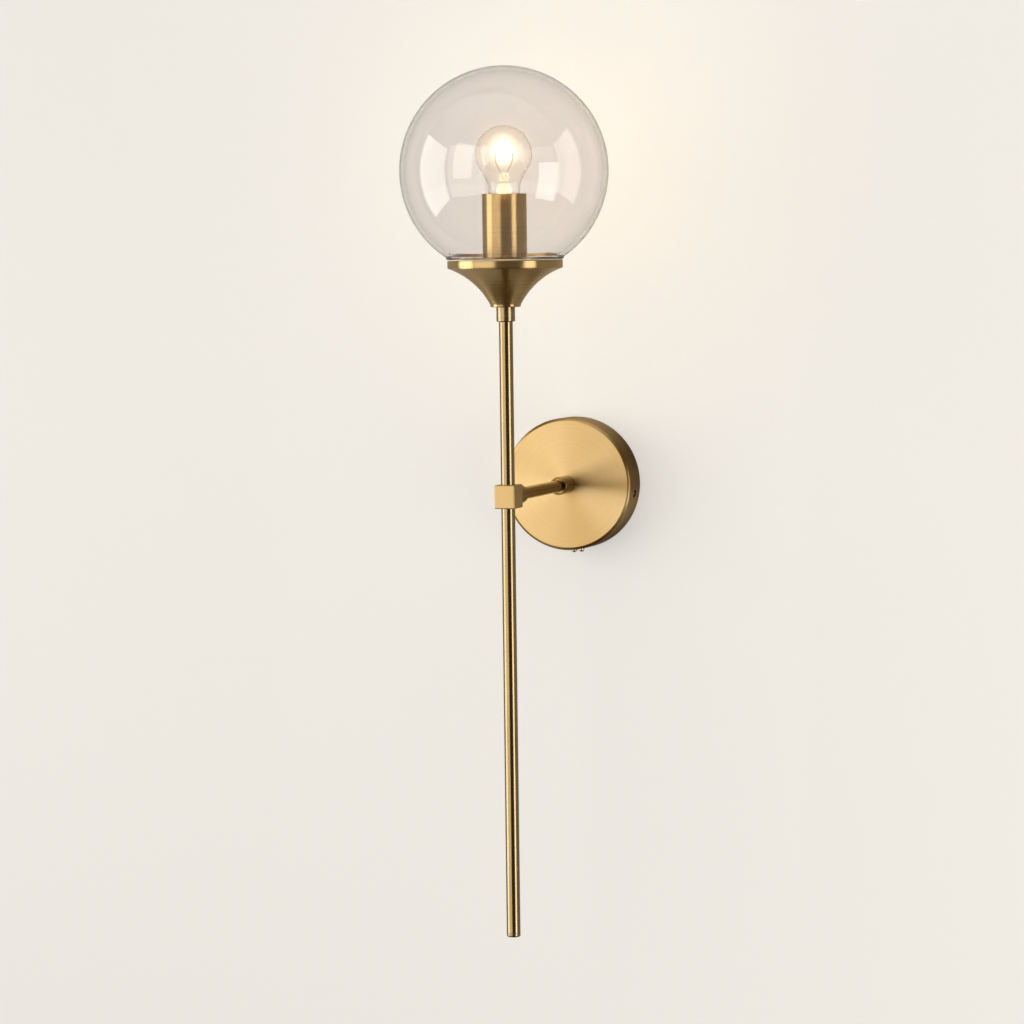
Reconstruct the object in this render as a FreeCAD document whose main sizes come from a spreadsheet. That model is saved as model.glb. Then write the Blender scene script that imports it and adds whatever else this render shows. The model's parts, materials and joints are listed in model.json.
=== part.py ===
# Globe wall sconce, in millimetres.
# The wall is the plane y = 0 and the lamp stands out of it towards -Y, with +Z up.
# The origin is the centre of the canopy's back. The arm lies on the Y axis, and the
# vertical lamp axis (rod, cup, lamp holder, bulb, globe) crosses it at y = -armReach.

import FreeCAD, Part
import Sketcher
import os
import re
from math import pi, tan

Vector = FreeCAD.Vector
Rotation = FreeCAD.Rotation
xAxis, yAxis, zAxis = Vector(1, 0, 0), Vector(0, 1, 0), Vector(0, 0, 1)

# Driving sizes. Heights are above the arm's axis, and depths are out from the wall.
drivingSizes = {
    # wall bracket
    "bracketWidth": 20,
    "bracketSheet": 2,
    "bracketBend": 1.5,
    "tabGap": 0.4,
    "tabDepth": 17,
    "wallHoleSpacing": 60,
    "wallHoleRadius": 2.5,
    "bracketPassRadius": 7,
    "canopyTurn": 8.5,
    # canopy
    "canopyRadius": 50,
    "canopyDepth": 25,
    "canopySheet": 1.5,
    "canopyEdge": 2.5,
    "sideScrewDepth": 12.4,
    "sideScrewRadius": 2,
    "sideHeadRadius": 2.2,
    "sideHeadHeight": 2.2,
    "sideHeadSunk": 0.5,
    "footTurn": 4.5,
    "footScrewDepth": 12,
    "footScrewPitch": 5.8,
    "footScrewRadius": 1.25,
    "footHeadRadius": 2,
    "footHeadHeight": 1.7,
    # terminal carrier and block
    "carrierWidth": 16,
    "carrierSheet": 1.5,
    "carrierDepth": 10,
    "carrierHeight": 25,
    "carrierGap": 0.8,
    "terminalLength": 16,
    "terminalDepth": 12,
    "terminalPitch": 8,
    "terminalLift": 1.5,
    "terminalBore": 1.6,
    "terminalScrewRadius": 1.5,
    "terminalScrewLength": 4,
    "fixingScrewRadius": 1.2,
    "fixingHeadRadius": 2.1,
    # earth point
    "earthOffset": 19,
    "earthScrewRadius": 2,
    "earthHeadRadius": 3.6,
    "earthHeadHeight": 2.4,
    "earthWasherRadius": 4.3,
    "earthWasherSheet": 0.8,
    "earthRingRadius": 7.6,
    "earthTongue": 10,
    # fits
    "threadGap": 0.05,
    "passGap": 0.15,
    "headGap": 0.3,
    # hollow threaded tubes on the arm
    "pipeRadius": 5,
    "pipeBore": 3.6,
    "pipeInside": 9.5,
    "pipeNutFlats": 14,
    "pipeNutHeight": 3,
    "pipeWasherRadius": 9,
    "pipeWasherSheet": 0.8,
    "bushFlange": 1,
    "bushSpigot": 3,
    "bushBore": 2.7,
    # arm
    "armReach": 158,
    "armRadius": 4.5,
    "armBore": 3.2,
    "collarRadius": 6.75,
    "collarLength": 21,
    "collarThread": 12,
    "collarWeb": 1,
    "collarRecess": 5.7,
    "collarRecessDepth": 2.4,
    "collarGrooveSet": 2.6,
    "collarGrooveWidth": 0.6,
    "collarGrooveDepth": 0.35,
    "collarRound": 0.5,
    "sleeveRadius": 7,
    "sleeveLength": 14.8,
    "sleeveThread": 6.8,
    "sleeveWeb": 1,
    # rod block
    "blockWidth": 15.5,
    "blockHeight": 17,
    "blockFront": 8.2,
    "blockBack": 10.2,
    "blockRound": 0.7,
    "blockCore": 3.4,
    "blockThreadDepth": 6,
    "blockSeatDepth": 1,
    "studFloor": 3.6,
    # rods
    "rodRadius": 5,
    "rodBore": 3.5,
    "rodTop": 126,
    "rodFoot": 320.7,
    "rodThread": 11,
    "studRadius": 4,
    "studBore": 3,
    "studInRod": 10,
    "plugHeight": 3,
    "plugSpigot": 8,
    "plugRound": 1.2,
    # cup
    "cupCollarRadius": 6.75,
    "cupCollarLength": 10.5,
    "cupCollarChamfer": 0.7,
    "cupHeight": 33.5,
    "cupFootRadius": 11,
    "cupFootRound": 0.8,
    "cupFootBand": 1.6,
    "cupRimRadius": 41.5,
    "cupRimBand": 5.4,
    "cupRimStep": 1,
    "cupFlare": 55.3,
    "cupSheet": 1.4,
    "cupRimRound": 0.5,
    "studNutFlats": 12,
    "studNutHeight": 4,
    "cupWasherRadius": 8.5,
    "cupWasherSheet": 1,
    # glass seat
    "plateSheet": 1.4,
    "plateGap": 0.1,
    "spigotRadius": 38.8,
    "spigotWall": 1,
    "spigotHeight": 3.5,
    "gasketSheet": 0.8,
    "gasketWidth": 2.4,
    "clipCount": 3,
    "clipWidth": 8,
    "clipSheet": 0.5,
    "clipFoot": 8,
    "clipRise": 2.4,
    "clipGlassGap": 0.3,
    "rivetRadius": 1,
    "rivetHeadRadius": 1.7,
    "rivetHeadHeight": 0.8,
    # globe
    "globeRadius": 75,
    "glassWall": 2.8,
    "neckRadius": 42.3,
    "neckHeight": 1.27,
    "neckRound": 1.5,
    "mouthRound": 0.9,
    # lamp holder
    "coverRadius": 16,
    "coverWall": 1,
    "coverHeight": 47.6,
    "coverFloor": 1.2,
    "holderRadius": 13.2,
    "holderWall": 1.6,
    "domeHeight": 14,
    "domeFloor": 2.5,
    "domeBossRadius": 6.5,
    "domeBossHeight": 6,
    "nippleInDome": 5,
    "domeLedge": 1,
    "coreFloor": 4.4,
    "coreSink": 3,
    "coreGap": 0.2,
    "coreTubeWall": 1.7,
    "sleeveTopSheet": 2,
    "holderTop": 38.3,
    "shellWall": 0.45,
    "shellLip": 1.6,
    "shellFloor": 3,
    "contactWidth": 4,
    "contactSheet": 0.4,
    "contactGap": 0.1,
    "holderScrewRadius": 1.2,
    "holderHeadRadius": 1.7,
    "holderHeadHeight": 1.1,
    "holderScrewSpread": 8.3,
    "leadHoleSpread": 3.2,
    "leadHoleRadius": 1.15,
    # bulb
    "bulbRadius": 20.5,
    "bulbTop": 266.5,
    "bulbLength": 78,
    "bulbWall": 0.8,
    "bulbNeckRadius": 11.6,
    "bulbNeckHeight": 12.1,
    "bulbWaistRadius": 8,
    "capRadius": 6.95,
    "capRunning": 0.08,
    "capWall": 0.4,
    "capLength": 23.4,
    "capFlareRadius": 8.5,
    "capFlareHeight": 3,
    "capGrooveDepth": 0.5,
    "threadPitch": 2.82,
    "capTipHeight": 1.4,
    "capTipRadius": 2.4,
    "capTipPin": 0.85,
    "capConeHeight": 2.5,
    "capConeRadius": 4,
    "stemRadius": 2.2,
    "stemHeight": 16.1,
    "filamentRise": 1,
    "filamentSpread": 6.5,
    "filamentArch": 8,
    "filamentRadius": 0.45,
    "supportWireRadius": 0.3,
    # leads
    "leadRadius": 0.9,
    "leadPitch": 2.1,
    "leadDrop": 1.2,
    "leadSet": 0.8,
    "leadBend": 11,
    "leadMouthBend": 6,
    "leadTopBend": 8,
    "liveOut": 9,
    "liveSwing": 17.5,
    "liveRise": 20,
    "liveFirstBend": 6,
    "liveSecondBend": 8,
    "neutralOut": 5,
    "neutralSwing": 13.5,
    "neutralRise": 12,
    "neutralFirstBend": 4,
    "neutralSecondBend": 6,
    "earthOut": 6,
    "earthBend": 3,
    "earthEndBend": 2,
}

# Sizes worked out from the driving ones, as formulas in the same sheet.
derivedSizes = {
    "canopyInside": "canopyRadius - canopySheet",
    "sideScrewSeat": "canopyRadius - sideHeadSunk - sideHeadHeight",
    "bracketReach": "sideScrewSeat - tabGap",
    "canopyFloor": "canopyDepth - canopySheet",
    "pipeHole": "pipeRadius + passGap",
    "pipeThread": "pipeRadius + threadGap",
    "studHole": "studRadius + passGap",
    "studThread": "studRadius + threadGap",
    "pipeMouth": "canopyFloor - pipeInside",
    "collarFront": "canopyDepth + collarLength",
    "armStart": "canopyDepth + collarThread + collarWeb",
    "armSeat": "armRadius + threadGap",
    "blockRear": "armReach - blockBack",
    "sleeveStart": "blockRear - sleeveLength",
    "armEnd": "blockRear - sleeveThread - sleeveWeb",
    "rodSeat": "blockHeight / 2 - blockSeatDepth",
    "cupBase": "rodTop + cupCollarLength",
    "cupTop": "cupBase + cupHeight",
    "plateRadius": "cupRimRadius - cupSheet - plateGap",
    "mouth": "cupTop + gasketSheet",
    "globeCentre": "mouth + neckHeight + sqrt(globeRadius ^ 2 - neckRadius ^ 2)",
    "neckInside": "neckRadius - glassWall",
    "globeInside": "globeRadius - glassWall",
    "neckTop": "globeCentre - sqrt(globeRadius ^ 2 - neckRadius ^ 2)",
    "neckInsideTop": "globeCentre - sqrt(globeInside ^ 2 - neckInside ^ 2)",
    "domeBase": "cupTop + coverFloor",
    "domeTop": "domeBase + domeHeight",
    "coreBase": "domeTop - coreSink",
    "coreTop": "coreBase + coreFloor",
    "shellInside": "capRadius + capRunning",
    "shellOutside": "shellInside + shellWall",
    "coreTubeRadius": "shellOutside + threadGap + coreTubeWall",
    "sleeveTop": "domeBase + holderTop",
    "capTip": "bulbTop - bulbLength",
    "capStart": "capTip + capTipHeight",
    "capShellStart": "capStart + capConeHeight",
    "capTop": "capTip + capLength",
    "bulbCentre": "bulbTop - bulbRadius",
    "bulbNeckTop": "capTop + bulbNeckHeight",
    "stemTop": "capTop + stemHeight",
    "filamentHeight": "bulbCentre + filamentRise",
}

document = FreeCAD.newDocument("GlobeWallSconce")
sizes = document.addObject("Spreadsheet::Sheet", "Sizes")
finished = []


def fillSheet():
    rows = {name: str(value) for name, value in drivingSizes.items()}
    rows.update({name: "=" + formula for name, formula in derivedSizes.items()})
    for row, (name, content) in enumerate(rows.items(), start=1):
        sizes.set(f"A{row}", "'" + name)
        sizes.set(f"B{row}", content)
        sizes.setAlias(f"B{row}", name)
    document.recompute()


def size(formula):
    """The number that a formula of sheet names gives."""
    return float(sizes.evalExpression(str(formula)))


def bound(formula):
    """The same formula as objects outside the sheet write it."""
    return re.sub(r"\b([a-z]\w*)\b(?!\()", r"Sizes.\1", str(formula))


def drive(item, field, formula):
    item.setExpression(field, bound(formula))


def place(item, x="0", y="0", z="0", rotation=None):
    """Puts a sub-part at x, y, z, which follow the sheet."""
    if rotation:
        item.Placement = FreeCAD.Placement(Vector(0, 0, 0), rotation)
    for axis, formula in (("x", x), ("y", y), ("z", z)):
        drive(item, f"Placement.Base.{axis}", formula)


def onLampAxis(item, height="0"):
    place(item, y="-armReach", z=height)
    return item


def onArmAxis(item):
    """Local +Z becomes the way out from the wall."""
    place(item, rotation=Rotation(xAxis, 90))
    return item


def finish(item, name):
    item.Label = name
    finished.append(item)
    return item


# Sketches and features

def startBody(name):
    return document.addObject("PartDesign::Body", name)


def originOf(body, role):
    return next(item for item in body.Origin.OriginFeatures if item.Role == role)


def startSketch(body, role, name):
    sketch = body.newObject("Sketcher::SketchObject", name)
    sketch.AttachmentSupport = (originOf(body, role), [""])
    sketch.MapMode = "FlatFace"
    return sketch


def arcBetween(start, end, radius):
    """The short arc from start to end. Its centre is on the left for a positive radius."""
    middle, chord = (start + end) / 2, end - start
    left = Vector(-chord.y, chord.x, 0).normalize()
    rise = max(radius ** 2 - (chord.Length / 2) ** 2, 0) ** 0.5
    centre = middle + left * (rise if radius > 0 else -rise)
    first, last = (start, end) if radius > 0 else (end, start)
    towards = [(point - centre) for point in (first, last)]
    angles = [Vector(1, 0, 0).getAngle(way) * (1 if way.y >= 0 else -1) for way in towards]
    return Part.ArcOfCircle(Part.Circle(centre, zAxis, abs(radius)), angles[0], angles[1])


def drawLoop(sketch, corners):
    """Draws a closed outline and ties each corner to the sheet.

    A corner is (across, along), or (across, along, radius) where the edge that arrives
    there is an arc. The radius is a formula, with a minus sign for a centre on the right.
    """
    points = [Vector(size(corner[0]), size(corner[1]), 0) for corner in corners]
    constraints, formulas, ends = [], [], []
    first = sketch.GeometryCount
    for index, start in enumerate(points):
        target = (index + 1) % len(points)
        radius = corners[target][2] if len(corners[target]) > 2 else None
        if radius is None:
            sketch.addGeometry(Part.LineSegment(start, points[target]))
            ends.append((1, 2))
            continue
        signed = size(radius)
        edge = sketch.addGeometry(arcBetween(start, points[target], signed))
        ends.append((1, 2) if signed > 0 else (2, 1))
        constraints.append(Sketcher.Constraint("Radius", edge, abs(signed)))
        formulas.append(str(radius).lstrip("-"))
    for index, point in enumerate(points):
        edge, before = first + index, first + (index - 1) % len(points)
        corner, arrives = ends[index][0], ends[index - 1][1]
        constraints.append(Sketcher.Constraint("Coincident", before, arrives, edge, corner))
        formulas.append(None)
        for kind, number, formula, axis in (
                ("DistanceX", point.x, corners[index][0], -2),
                ("DistanceY", point.y, corners[index][1], -1)):
            if abs(number) < 1e-9:
                constraints.append(Sketcher.Constraint("PointOnObject", edge, corner, axis))
                formulas.append(None)
            else:
                constraints.append(Sketcher.Constraint(kind, edge, corner, number))
                formulas.append(formula)
    tie(sketch, constraints, formulas)


def drawCircle(sketch, across, along, radius):
    centre = Vector(size(across), size(along), 0)
    edge = sketch.addGeometry(Part.Circle(centre, zAxis, size(radius)))
    constraints, formulas = [Sketcher.Constraint("Radius", edge, size(radius))], [radius]
    for kind, number, formula, axis in (
            ("DistanceX", centre.x, across, -2), ("DistanceY", centre.y, along, -1)):
        if abs(number) < 1e-9:
            constraints.append(Sketcher.Constraint("PointOnObject", edge, 3, axis))
            formulas.append(None)
        else:
            constraints.append(Sketcher.Constraint(kind, edge, 3, number))
            formulas.append(formula)
    tie(sketch, constraints, formulas)


def tie(sketch, constraints, formulas):
    start = sketch.ConstraintCount
    sketch.addConstraint(constraints)
    for offset, formula in enumerate(formulas):
        if formula is not None:
            drive(sketch, f"Constraints[{start + offset}]", formula)


def rectangle(left, low, right, high):
    return [(left, low), (right, low), (right, high), (left, high)]


def hexagon(flats):
    """Corners of a hexagon of this width across flats, with two corners on the X axis."""
    far, near, high = f"({flats}) / sqrt(3)", f"({flats}) / sqrt(12)", f"({flats}) / 2"
    return [(far, "0"), (near, high), (f"-{near}", high),
            (f"-{far}", "0"), (f"-{near}", f"-{high}"), (near, f"-{high}")]


def turned(name, corners):
    """A body turned about its own Z axis from a radius and height outline."""
    body = startBody(name)
    sketch = startSketch(body, "XZ_Plane", name + "Outline")
    drawLoop(sketch, corners)
    turn = body.newObject("PartDesign::Revolution", name + "Turn")
    turn.Profile = (sketch, [""])
    turn.ReferenceAxis = (sketch, ["V_Axis"])
    turn.Angle = 360
    document.recompute()
    return body


def grooved(body, role, corners, name):
    """Cuts a stepped bore, drawn as radius and height beside the sketch's own vertical axis."""
    sketch = startSketch(body, role, name + "Outline")
    drawLoop(sketch, corners)
    groove = body.newObject("PartDesign::Groove", name)
    groove.Profile = (sketch, [""])
    groove.ReferenceAxis = (sketch, ["V_Axis"])
    groove.Angle = 360
    document.recompute()
    return groove


def padded(body, role, corners, width, name):
    """A plate of this width, half of it on each side of the plane."""
    sketch = startSketch(body, role, name + "Outline")
    drawLoop(sketch, corners)
    pad = body.newObject("PartDesign::Pad", name)
    pad.Profile = (sketch, [""])
    drive(pad, "Length", width)
    pad.Midplane = True
    document.recompute()
    return pad


def drilled(body, role, holes, name):
    """Drills round holes right through, square to one of the body's own planes."""
    sketch = startSketch(body, role, name + "Centres")
    for hole in holes:
        drawCircle(sketch, *hole)
    return pocketed(body, sketch, name)


def pocketed(body, sketch, name, oneWay=False, reverse=False, length=None):
    before = body.Shape.Volume
    pocket = body.newObject("PartDesign::Pocket", name)
    pocket.Profile = (sketch, [""])
    if length:
        drive(pocket, "Length", length)
    else:
        pocket.Type = "ThroughAll"
    pocket.Midplane = not oneWay
    pocket.Reversed = reverse
    document.recompute()
    if body.Shape.Volume > before - 1e-6:
        raise ValueError(f"{name} cuts nothing")
    return pocket


def repeated(body, features, count, name):
    """Repeats features evenly round the body's own Z axis."""
    pattern = body.newObject("PartDesign::PolarPattern", name)
    pattern.Originals = features
    pattern.Axis = (originOf(body, "Z_Axis"), [""])
    pattern.Angle = 360
    drive(pattern, "Occurrences", count)
    body.Tip = pattern
    document.recompute()
    return pattern


def ringEdges(feature, rings):
    """Names of the round edges at these (radius, height) places about the Z axis."""
    wanted = [(size(radius), size(height)) for radius, height in rings]
    names = []
    for number, edge in enumerate(feature.Shape.Edges, start=1):
        if edge.Degenerated or not isinstance(edge.Curve, Part.Circle):
            continue
        curve = edge.Curve
        for radius, height in wanted:
            if abs(curve.Radius - radius) < 1e-4 and abs(curve.Center.z - height) < 1e-4:
                names.append(f"Edge{number}")
    return names


def rounded(body, edges, radius, name):
    base = body.Tip
    fillet = body.newObject("PartDesign::Fillet", name)
    fillet.Base = (base, edges)
    drive(fillet, "Radius", radius)
    document.recompute()
    return fillet


def ring(name, inside, outside, low, high):
    return turned(name, rectangle(inside, low, outside, high))


def nut(name, flats, bore, low, height):
    """A hexagon nut whose underside lies at this height of its own axis."""
    body = startBody(name)
    sketch = startSketch(body, "XY_Plane", name + "Outline")
    sketch.AttachmentOffset = FreeCAD.Placement(Vector(0, 0, 0), Rotation())
    drive(sketch, "AttachmentOffset.Base.z", low)
    drawLoop(sketch, hexagon(flats))
    drawCircle(sketch, "0", "0", bore)
    pad = body.newObject("PartDesign::Pad", name + "Pad")
    pad.Profile = (sketch, [""])
    drive(pad, "Length", height)
    document.recompute()
    return body


def domeRadius(across, rise):
    """Radius of the sphere that is level on the axis and falls by rise at this distance."""
    return f"(({across}) ^ 2 + ({rise}) ^ 2) / (2 * ({rise}))"


def screw(name, shank, length, head, headHeight, domed=False):
    """A screw on its own Z axis: the head stands on z = 0 and the shank goes down."""
    crown = [(head, headHeight), ("0", headHeight)]
    if domed:
        rise = f"({headHeight}) * 2 / 3"
        crown = [(head, f"({headHeight}) / 3"), ("0", headHeight, domeRadius(head, rise))]
    corners = [("0", f"-({length})"), (shank, f"-({length})"), (shank, "0"), (head, "0")]
    body = turned(name, corners + crown)
    slot = startSketch(body, "XY_Plane", name + "SlotOutline")
    slot.AttachmentOffset = FreeCAD.Placement(Vector(0, 0, 0), Rotation())
    drive(slot, "AttachmentOffset.Base.z", headHeight)
    halfWidth, halfLength = f"({head}) * 0.16", f"({head}) * 0.7"
    drawLoop(slot, rectangle(f"-{halfLength}", f"-{halfWidth}", halfLength, halfWidth))
    pocketed(body, slot, name + "Slot", oneWay=True, length=f"({headHeight}) * 0.45")
    return body


def copies(name, original, places):
    """One node of separate, identical pieces, each at its own place."""
    links = []
    for number, spot in enumerate(places, start=1):
        link = document.addObject("App::Link", f"{name}Copy{number}")
        link.LinkedObject = original
        link.LinkTransform = False
        link.Placement = spot
        links.append(link)
    group = document.addObject("Part::Compound", name + "Group")
    group.Links = links
    document.recompute()
    return group


# Wall bracket and canopy

def makeBracket():
    body = startBody("WallBracket")
    reach, sheet, bend = "bracketReach", "bracketSheet", "bracketBend"
    outer, inner = f"({bend} + {sheet})", bend
    section = [
        (f"-({reach} - {outer})", "0", f"-{outer}"),
        (f"{reach} - {outer}", "0"),
        (reach, f"-{outer}", f"-{outer}"),
        (reach, "-tabDepth"),
        (f"{reach} - {sheet}", "-tabDepth"),
        (f"{reach} - {sheet}", f"-{outer}"),
        (f"{reach} - {outer}", f"-{sheet}", inner),
        (f"-({reach} - {outer})", f"-{sheet}"),
        (f"-({reach} - {sheet})", f"-{outer}", inner),
        (f"-({reach} - {sheet})", "-tabDepth"),
        (f"-{reach}", "-tabDepth"),
        (f"-{reach}", f"-{outer}"),
    ]
    padded(body, "XY_Plane", section, "bracketWidth", "Strip")
    wallHoles = [(f"{side}wallHoleSpacing / 2", "0", "wallHoleRadius") for side in ("", "-")]
    passHole = [("0", "0", "bracketPassRadius")]
    earth = [("earthOffset", "0", "earthScrewRadius + threadGap")]
    drilled(body, "XZ_Plane", wallHoles + passHole + earth, "StripHoles")
    drilled(body, "YZ_Plane", [("-sideScrewDepth", "0", "sideScrewRadius + threadGap")], "TabHoles")
    turnAboutArm(body, "canopyTurn")
    return finish(body, "wall_bracket")


def turnAboutArm(item, angle):
    """Turns a sub-part about the arm so that its right-hand end goes down."""
    item.Placement = FreeCAD.Placement(Vector(0, 0, 0), Rotation(yAxis, 1))
    drive(item, "Placement.Rotation.Angle", angle)


def makeCanopy():
    inner = "canopyEdge - canopySheet"
    body = turned("Canopy", [
        ("canopyInside", "0"),
        ("canopyRadius", "0"),
        ("canopyRadius", "canopyDepth - canopyEdge"),
        ("canopyRadius - canopyEdge", "canopyDepth", "canopyEdge"),
        ("pipeHole", "canopyDepth"),
        ("pipeHole", "canopyFloor"),
        ("canopyRadius - canopyEdge", "canopyFloor"),
        ("canopyInside", "canopyDepth - canopyEdge", f"-({inner})"),
    ])
    side = [("0", "sideScrewDepth", "sideHeadRadius + headGap")]
    drilledAround(body, side, "90 - canopyTurn", "SideHoles", bothWays=True)
    foot = [(f"{way}footScrewPitch / 2", "footScrewDepth", "footScrewRadius + passGap")
            for way in ("", "-")]
    drilledAround(body, foot, "footTurn", "FootHoles", bothWays=False)
    onArmAxis(body)
    return finish(body, "canopy")


def drilledAround(body, holes, angle, name, bothWays):
    """Drills through the rim, square to a plane that is turned about the body's own Z axis."""
    sketch = startSketch(body, "XZ_Plane", name + "Centres")
    sketch.AttachmentOffset = FreeCAD.Placement(Vector(0, 0, 0), Rotation(yAxis, 1))
    drive(sketch, "AttachmentOffset.Rotation.Angle", angle)
    for hole in holes:
        drawCircle(sketch, *hole)
    return pocketed(body, sketch, name, oneWay=not bothWays, reverse=not bothWays)


def aroundArm(angle):
    """A rotation about the arm, in the sense of turnAboutArm."""
    return Rotation(yAxis, angle)


def makeSideScrews():
    """The head sits in the canopy's hole and the shank in the bracket's tab."""
    length = "tabGap + bracketSheet + 1.5"
    one = screw("SideScrew", "sideScrewRadius", length, "sideHeadRadius", "sideHeadHeight")
    turn = size("canopyTurn")
    spots = []
    for half in (0, 180):
        around = aroundArm(turn + half)
        where = around.multVec(Vector(size("sideScrewSeat"), -size("sideScrewDepth"), 0))
        spots.append(FreeCAD.Placement(where, around * Rotation(yAxis, 90)))
    return finish(copies("SideScrews", one, spots), "canopy_side_screws")


def makeFootScrews():
    """Two small domed screws under the rim, which hold the terminal carrier."""
    length = "canopySheet + carrierGap + carrierSheet + 1"
    one = screw("FootScrew", "footScrewRadius", length, "footHeadRadius", "footHeadHeight", True)
    around = aroundArm(size("-footTurn"))
    spots = []
    for way in (-1, 1):
        across = way * size("footScrewPitch / 2")
        where = around.multVec(Vector(across, -size("footScrewDepth"), -size("canopyRadius")))
        spots.append(FreeCAD.Placement(where, around * Rotation(xAxis, 180)))
    return finish(copies("FootScrews", one, spots), "canopy_foot_screws")


def makeTerminalCarrier():
    """An angle plate: the flange lies on the rim and the upright carries the terminal block."""
    body = startBody("TerminalCarrier")
    flangeLow = "-(canopyInside - carrierGap)"
    flangeHigh = f"{flangeLow} + carrierSheet"
    front = "-(footScrewDepth + carrierDepth / 2)"
    back = "-(footScrewDepth - carrierDepth / 2)"
    section = [
        (front, flangeLow),
        (back, flangeLow),
        (back, f"{flangeLow} + carrierHeight"),
        (f"{back} - carrierSheet", f"{flangeLow} + carrierHeight"),
        (f"{back} - carrierSheet", flangeHigh),
        (front, flangeHigh),
    ]
    padded(body, "YZ_Plane", section, "carrierWidth", "Angle")
    holes = [(f"{way}footScrewPitch / 2", "-footScrewDepth", "footScrewRadius + threadGap")
             for way in ("", "-")]
    drilled(body, "XY_Plane", holes, "FlangeHoles")
    fixing = [("0", terminalMiddle(), "fixingScrewRadius + threadGap")]
    drilled(body, "XZ_Plane", fixing, "UprightHole")
    turnAboutArm(body, "-footTurn")
    return finish(body, "terminal_carrier")


def terminalLow():
    """Underside of the terminal block, in the carrier's own upright frame."""
    return "-(canopyInside - carrierGap) + carrierSheet + terminalLift"


def terminalMiddle():
    return f"{terminalLow()} + terminalPitch"


def terminalBack():
    """Depth of the terminal block's back, which lies on the carrier's upright."""
    return "footScrewDepth - carrierDepth / 2 + carrierSheet"


def makeTerminalBlock():
    """Three poles one above the other, with the cable holes from side to side."""
    body = startBody("TerminalBlock")
    back, low = f"-({terminalBack()})", terminalLow()
    section = rectangle(f"{back} - terminalDepth", low, back, f"{low} + 3 * terminalPitch")
    padded(body, "YZ_Plane", section, "terminalLength", "Moulding")
    poles = [f"{low} + {number} * terminalPitch" for number in ("0.5", "1.5", "2.5")]
    cables = [(f"{back} - terminalDepth / 2", pole, "terminalBore") for pole in poles]
    drilled(body, "YZ_Plane", cables, "CableHoles")
    sketch = startSketch(body, "XZ_Plane", "WellCentres")
    sketch.AttachmentOffset = FreeCAD.Placement(Vector(0, 0, 0), Rotation())
    drive(sketch, "AttachmentOffset.Base.z", f"{terminalBack()} + terminalDepth")
    for pole in poles:
        for way in ("", "-"):
            drawCircle(sketch, f"{way}terminalLength / 4", pole,
                       "terminalScrewRadius + threadGap")
    pocketed(body, sketch, "ScrewWells", oneWay=True, length="terminalDepth / 2")
    fixing = [("0", terminalMiddle(), "fixingScrewRadius + passGap")]
    drilled(body, "XZ_Plane", fixing, "FixingHole")
    turnAboutArm(body, "-footTurn")
    return finish(body, "terminal_block")


def makeTerminalScrews():
    one = screw("TerminalScrew", "terminalScrewRadius * 0.6",
                "terminalBore - leadRadius - threadGap",
                "terminalScrewRadius", "terminalScrewLength")
    around = aroundArm(size("-footTurn"))
    depth = size(f"{terminalBack()} + terminalDepth / 2 + terminalBore")
    spots = []
    for number in (0.5, 1.5, 2.5):
        height = size(f"{terminalLow()} + {number} * terminalPitch")
        for way in (-1, 1):
            across = way * size("terminalLength / 4")
            where = around.multVec(Vector(across, -depth, height))
            spots.append(FreeCAD.Placement(where, around * Rotation(xAxis, 90)))
    return finish(copies("TerminalScrews", one, spots), "terminal_screws")


def makeFixingScrew():
    body = screw("FixingScrew", "fixingScrewRadius", "terminalDepth + carrierSheet + 0.5",
                 "fixingHeadRadius", "1.4")
    around = aroundArm(size("-footTurn"))
    depth = size(f"{terminalBack()} + terminalDepth")
    where = around.multVec(Vector(0, -depth, size(terminalMiddle())))
    body.Placement = FreeCAD.Placement(where, around * Rotation(xAxis, 90))
    return finish(body, "terminal_fixing_screw")


def makeEarthPoint():
    """Screw and washer on the bracket, where the supply's earth is clamped."""
    washer = ring("EarthWasher", "earthScrewRadius + passGap", "earthWasherRadius",
                  "bracketSheet", "bracketSheet + earthWasherSheet")
    bolt = screw("EarthScrew", "earthScrewRadius", "earthWasherSheet + bracketSheet - 0.2",
                 "earthHeadRadius", "earthHeadHeight")
    around = aroundArm(size("canopyTurn"))
    where = around.multVec(Vector(size("earthOffset"), 0, 0))
    outward = around * Rotation(xAxis, 90)
    washer.Placement = FreeCAD.Placement(where, outward)
    head = Vector(0, -size("bracketSheet + earthWasherSheet"), 0)
    bolt.Placement = FreeCAD.Placement(where + head, outward)
    finish(washer, "earth_washer")
    return finish(bolt, "earth_screw")


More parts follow.
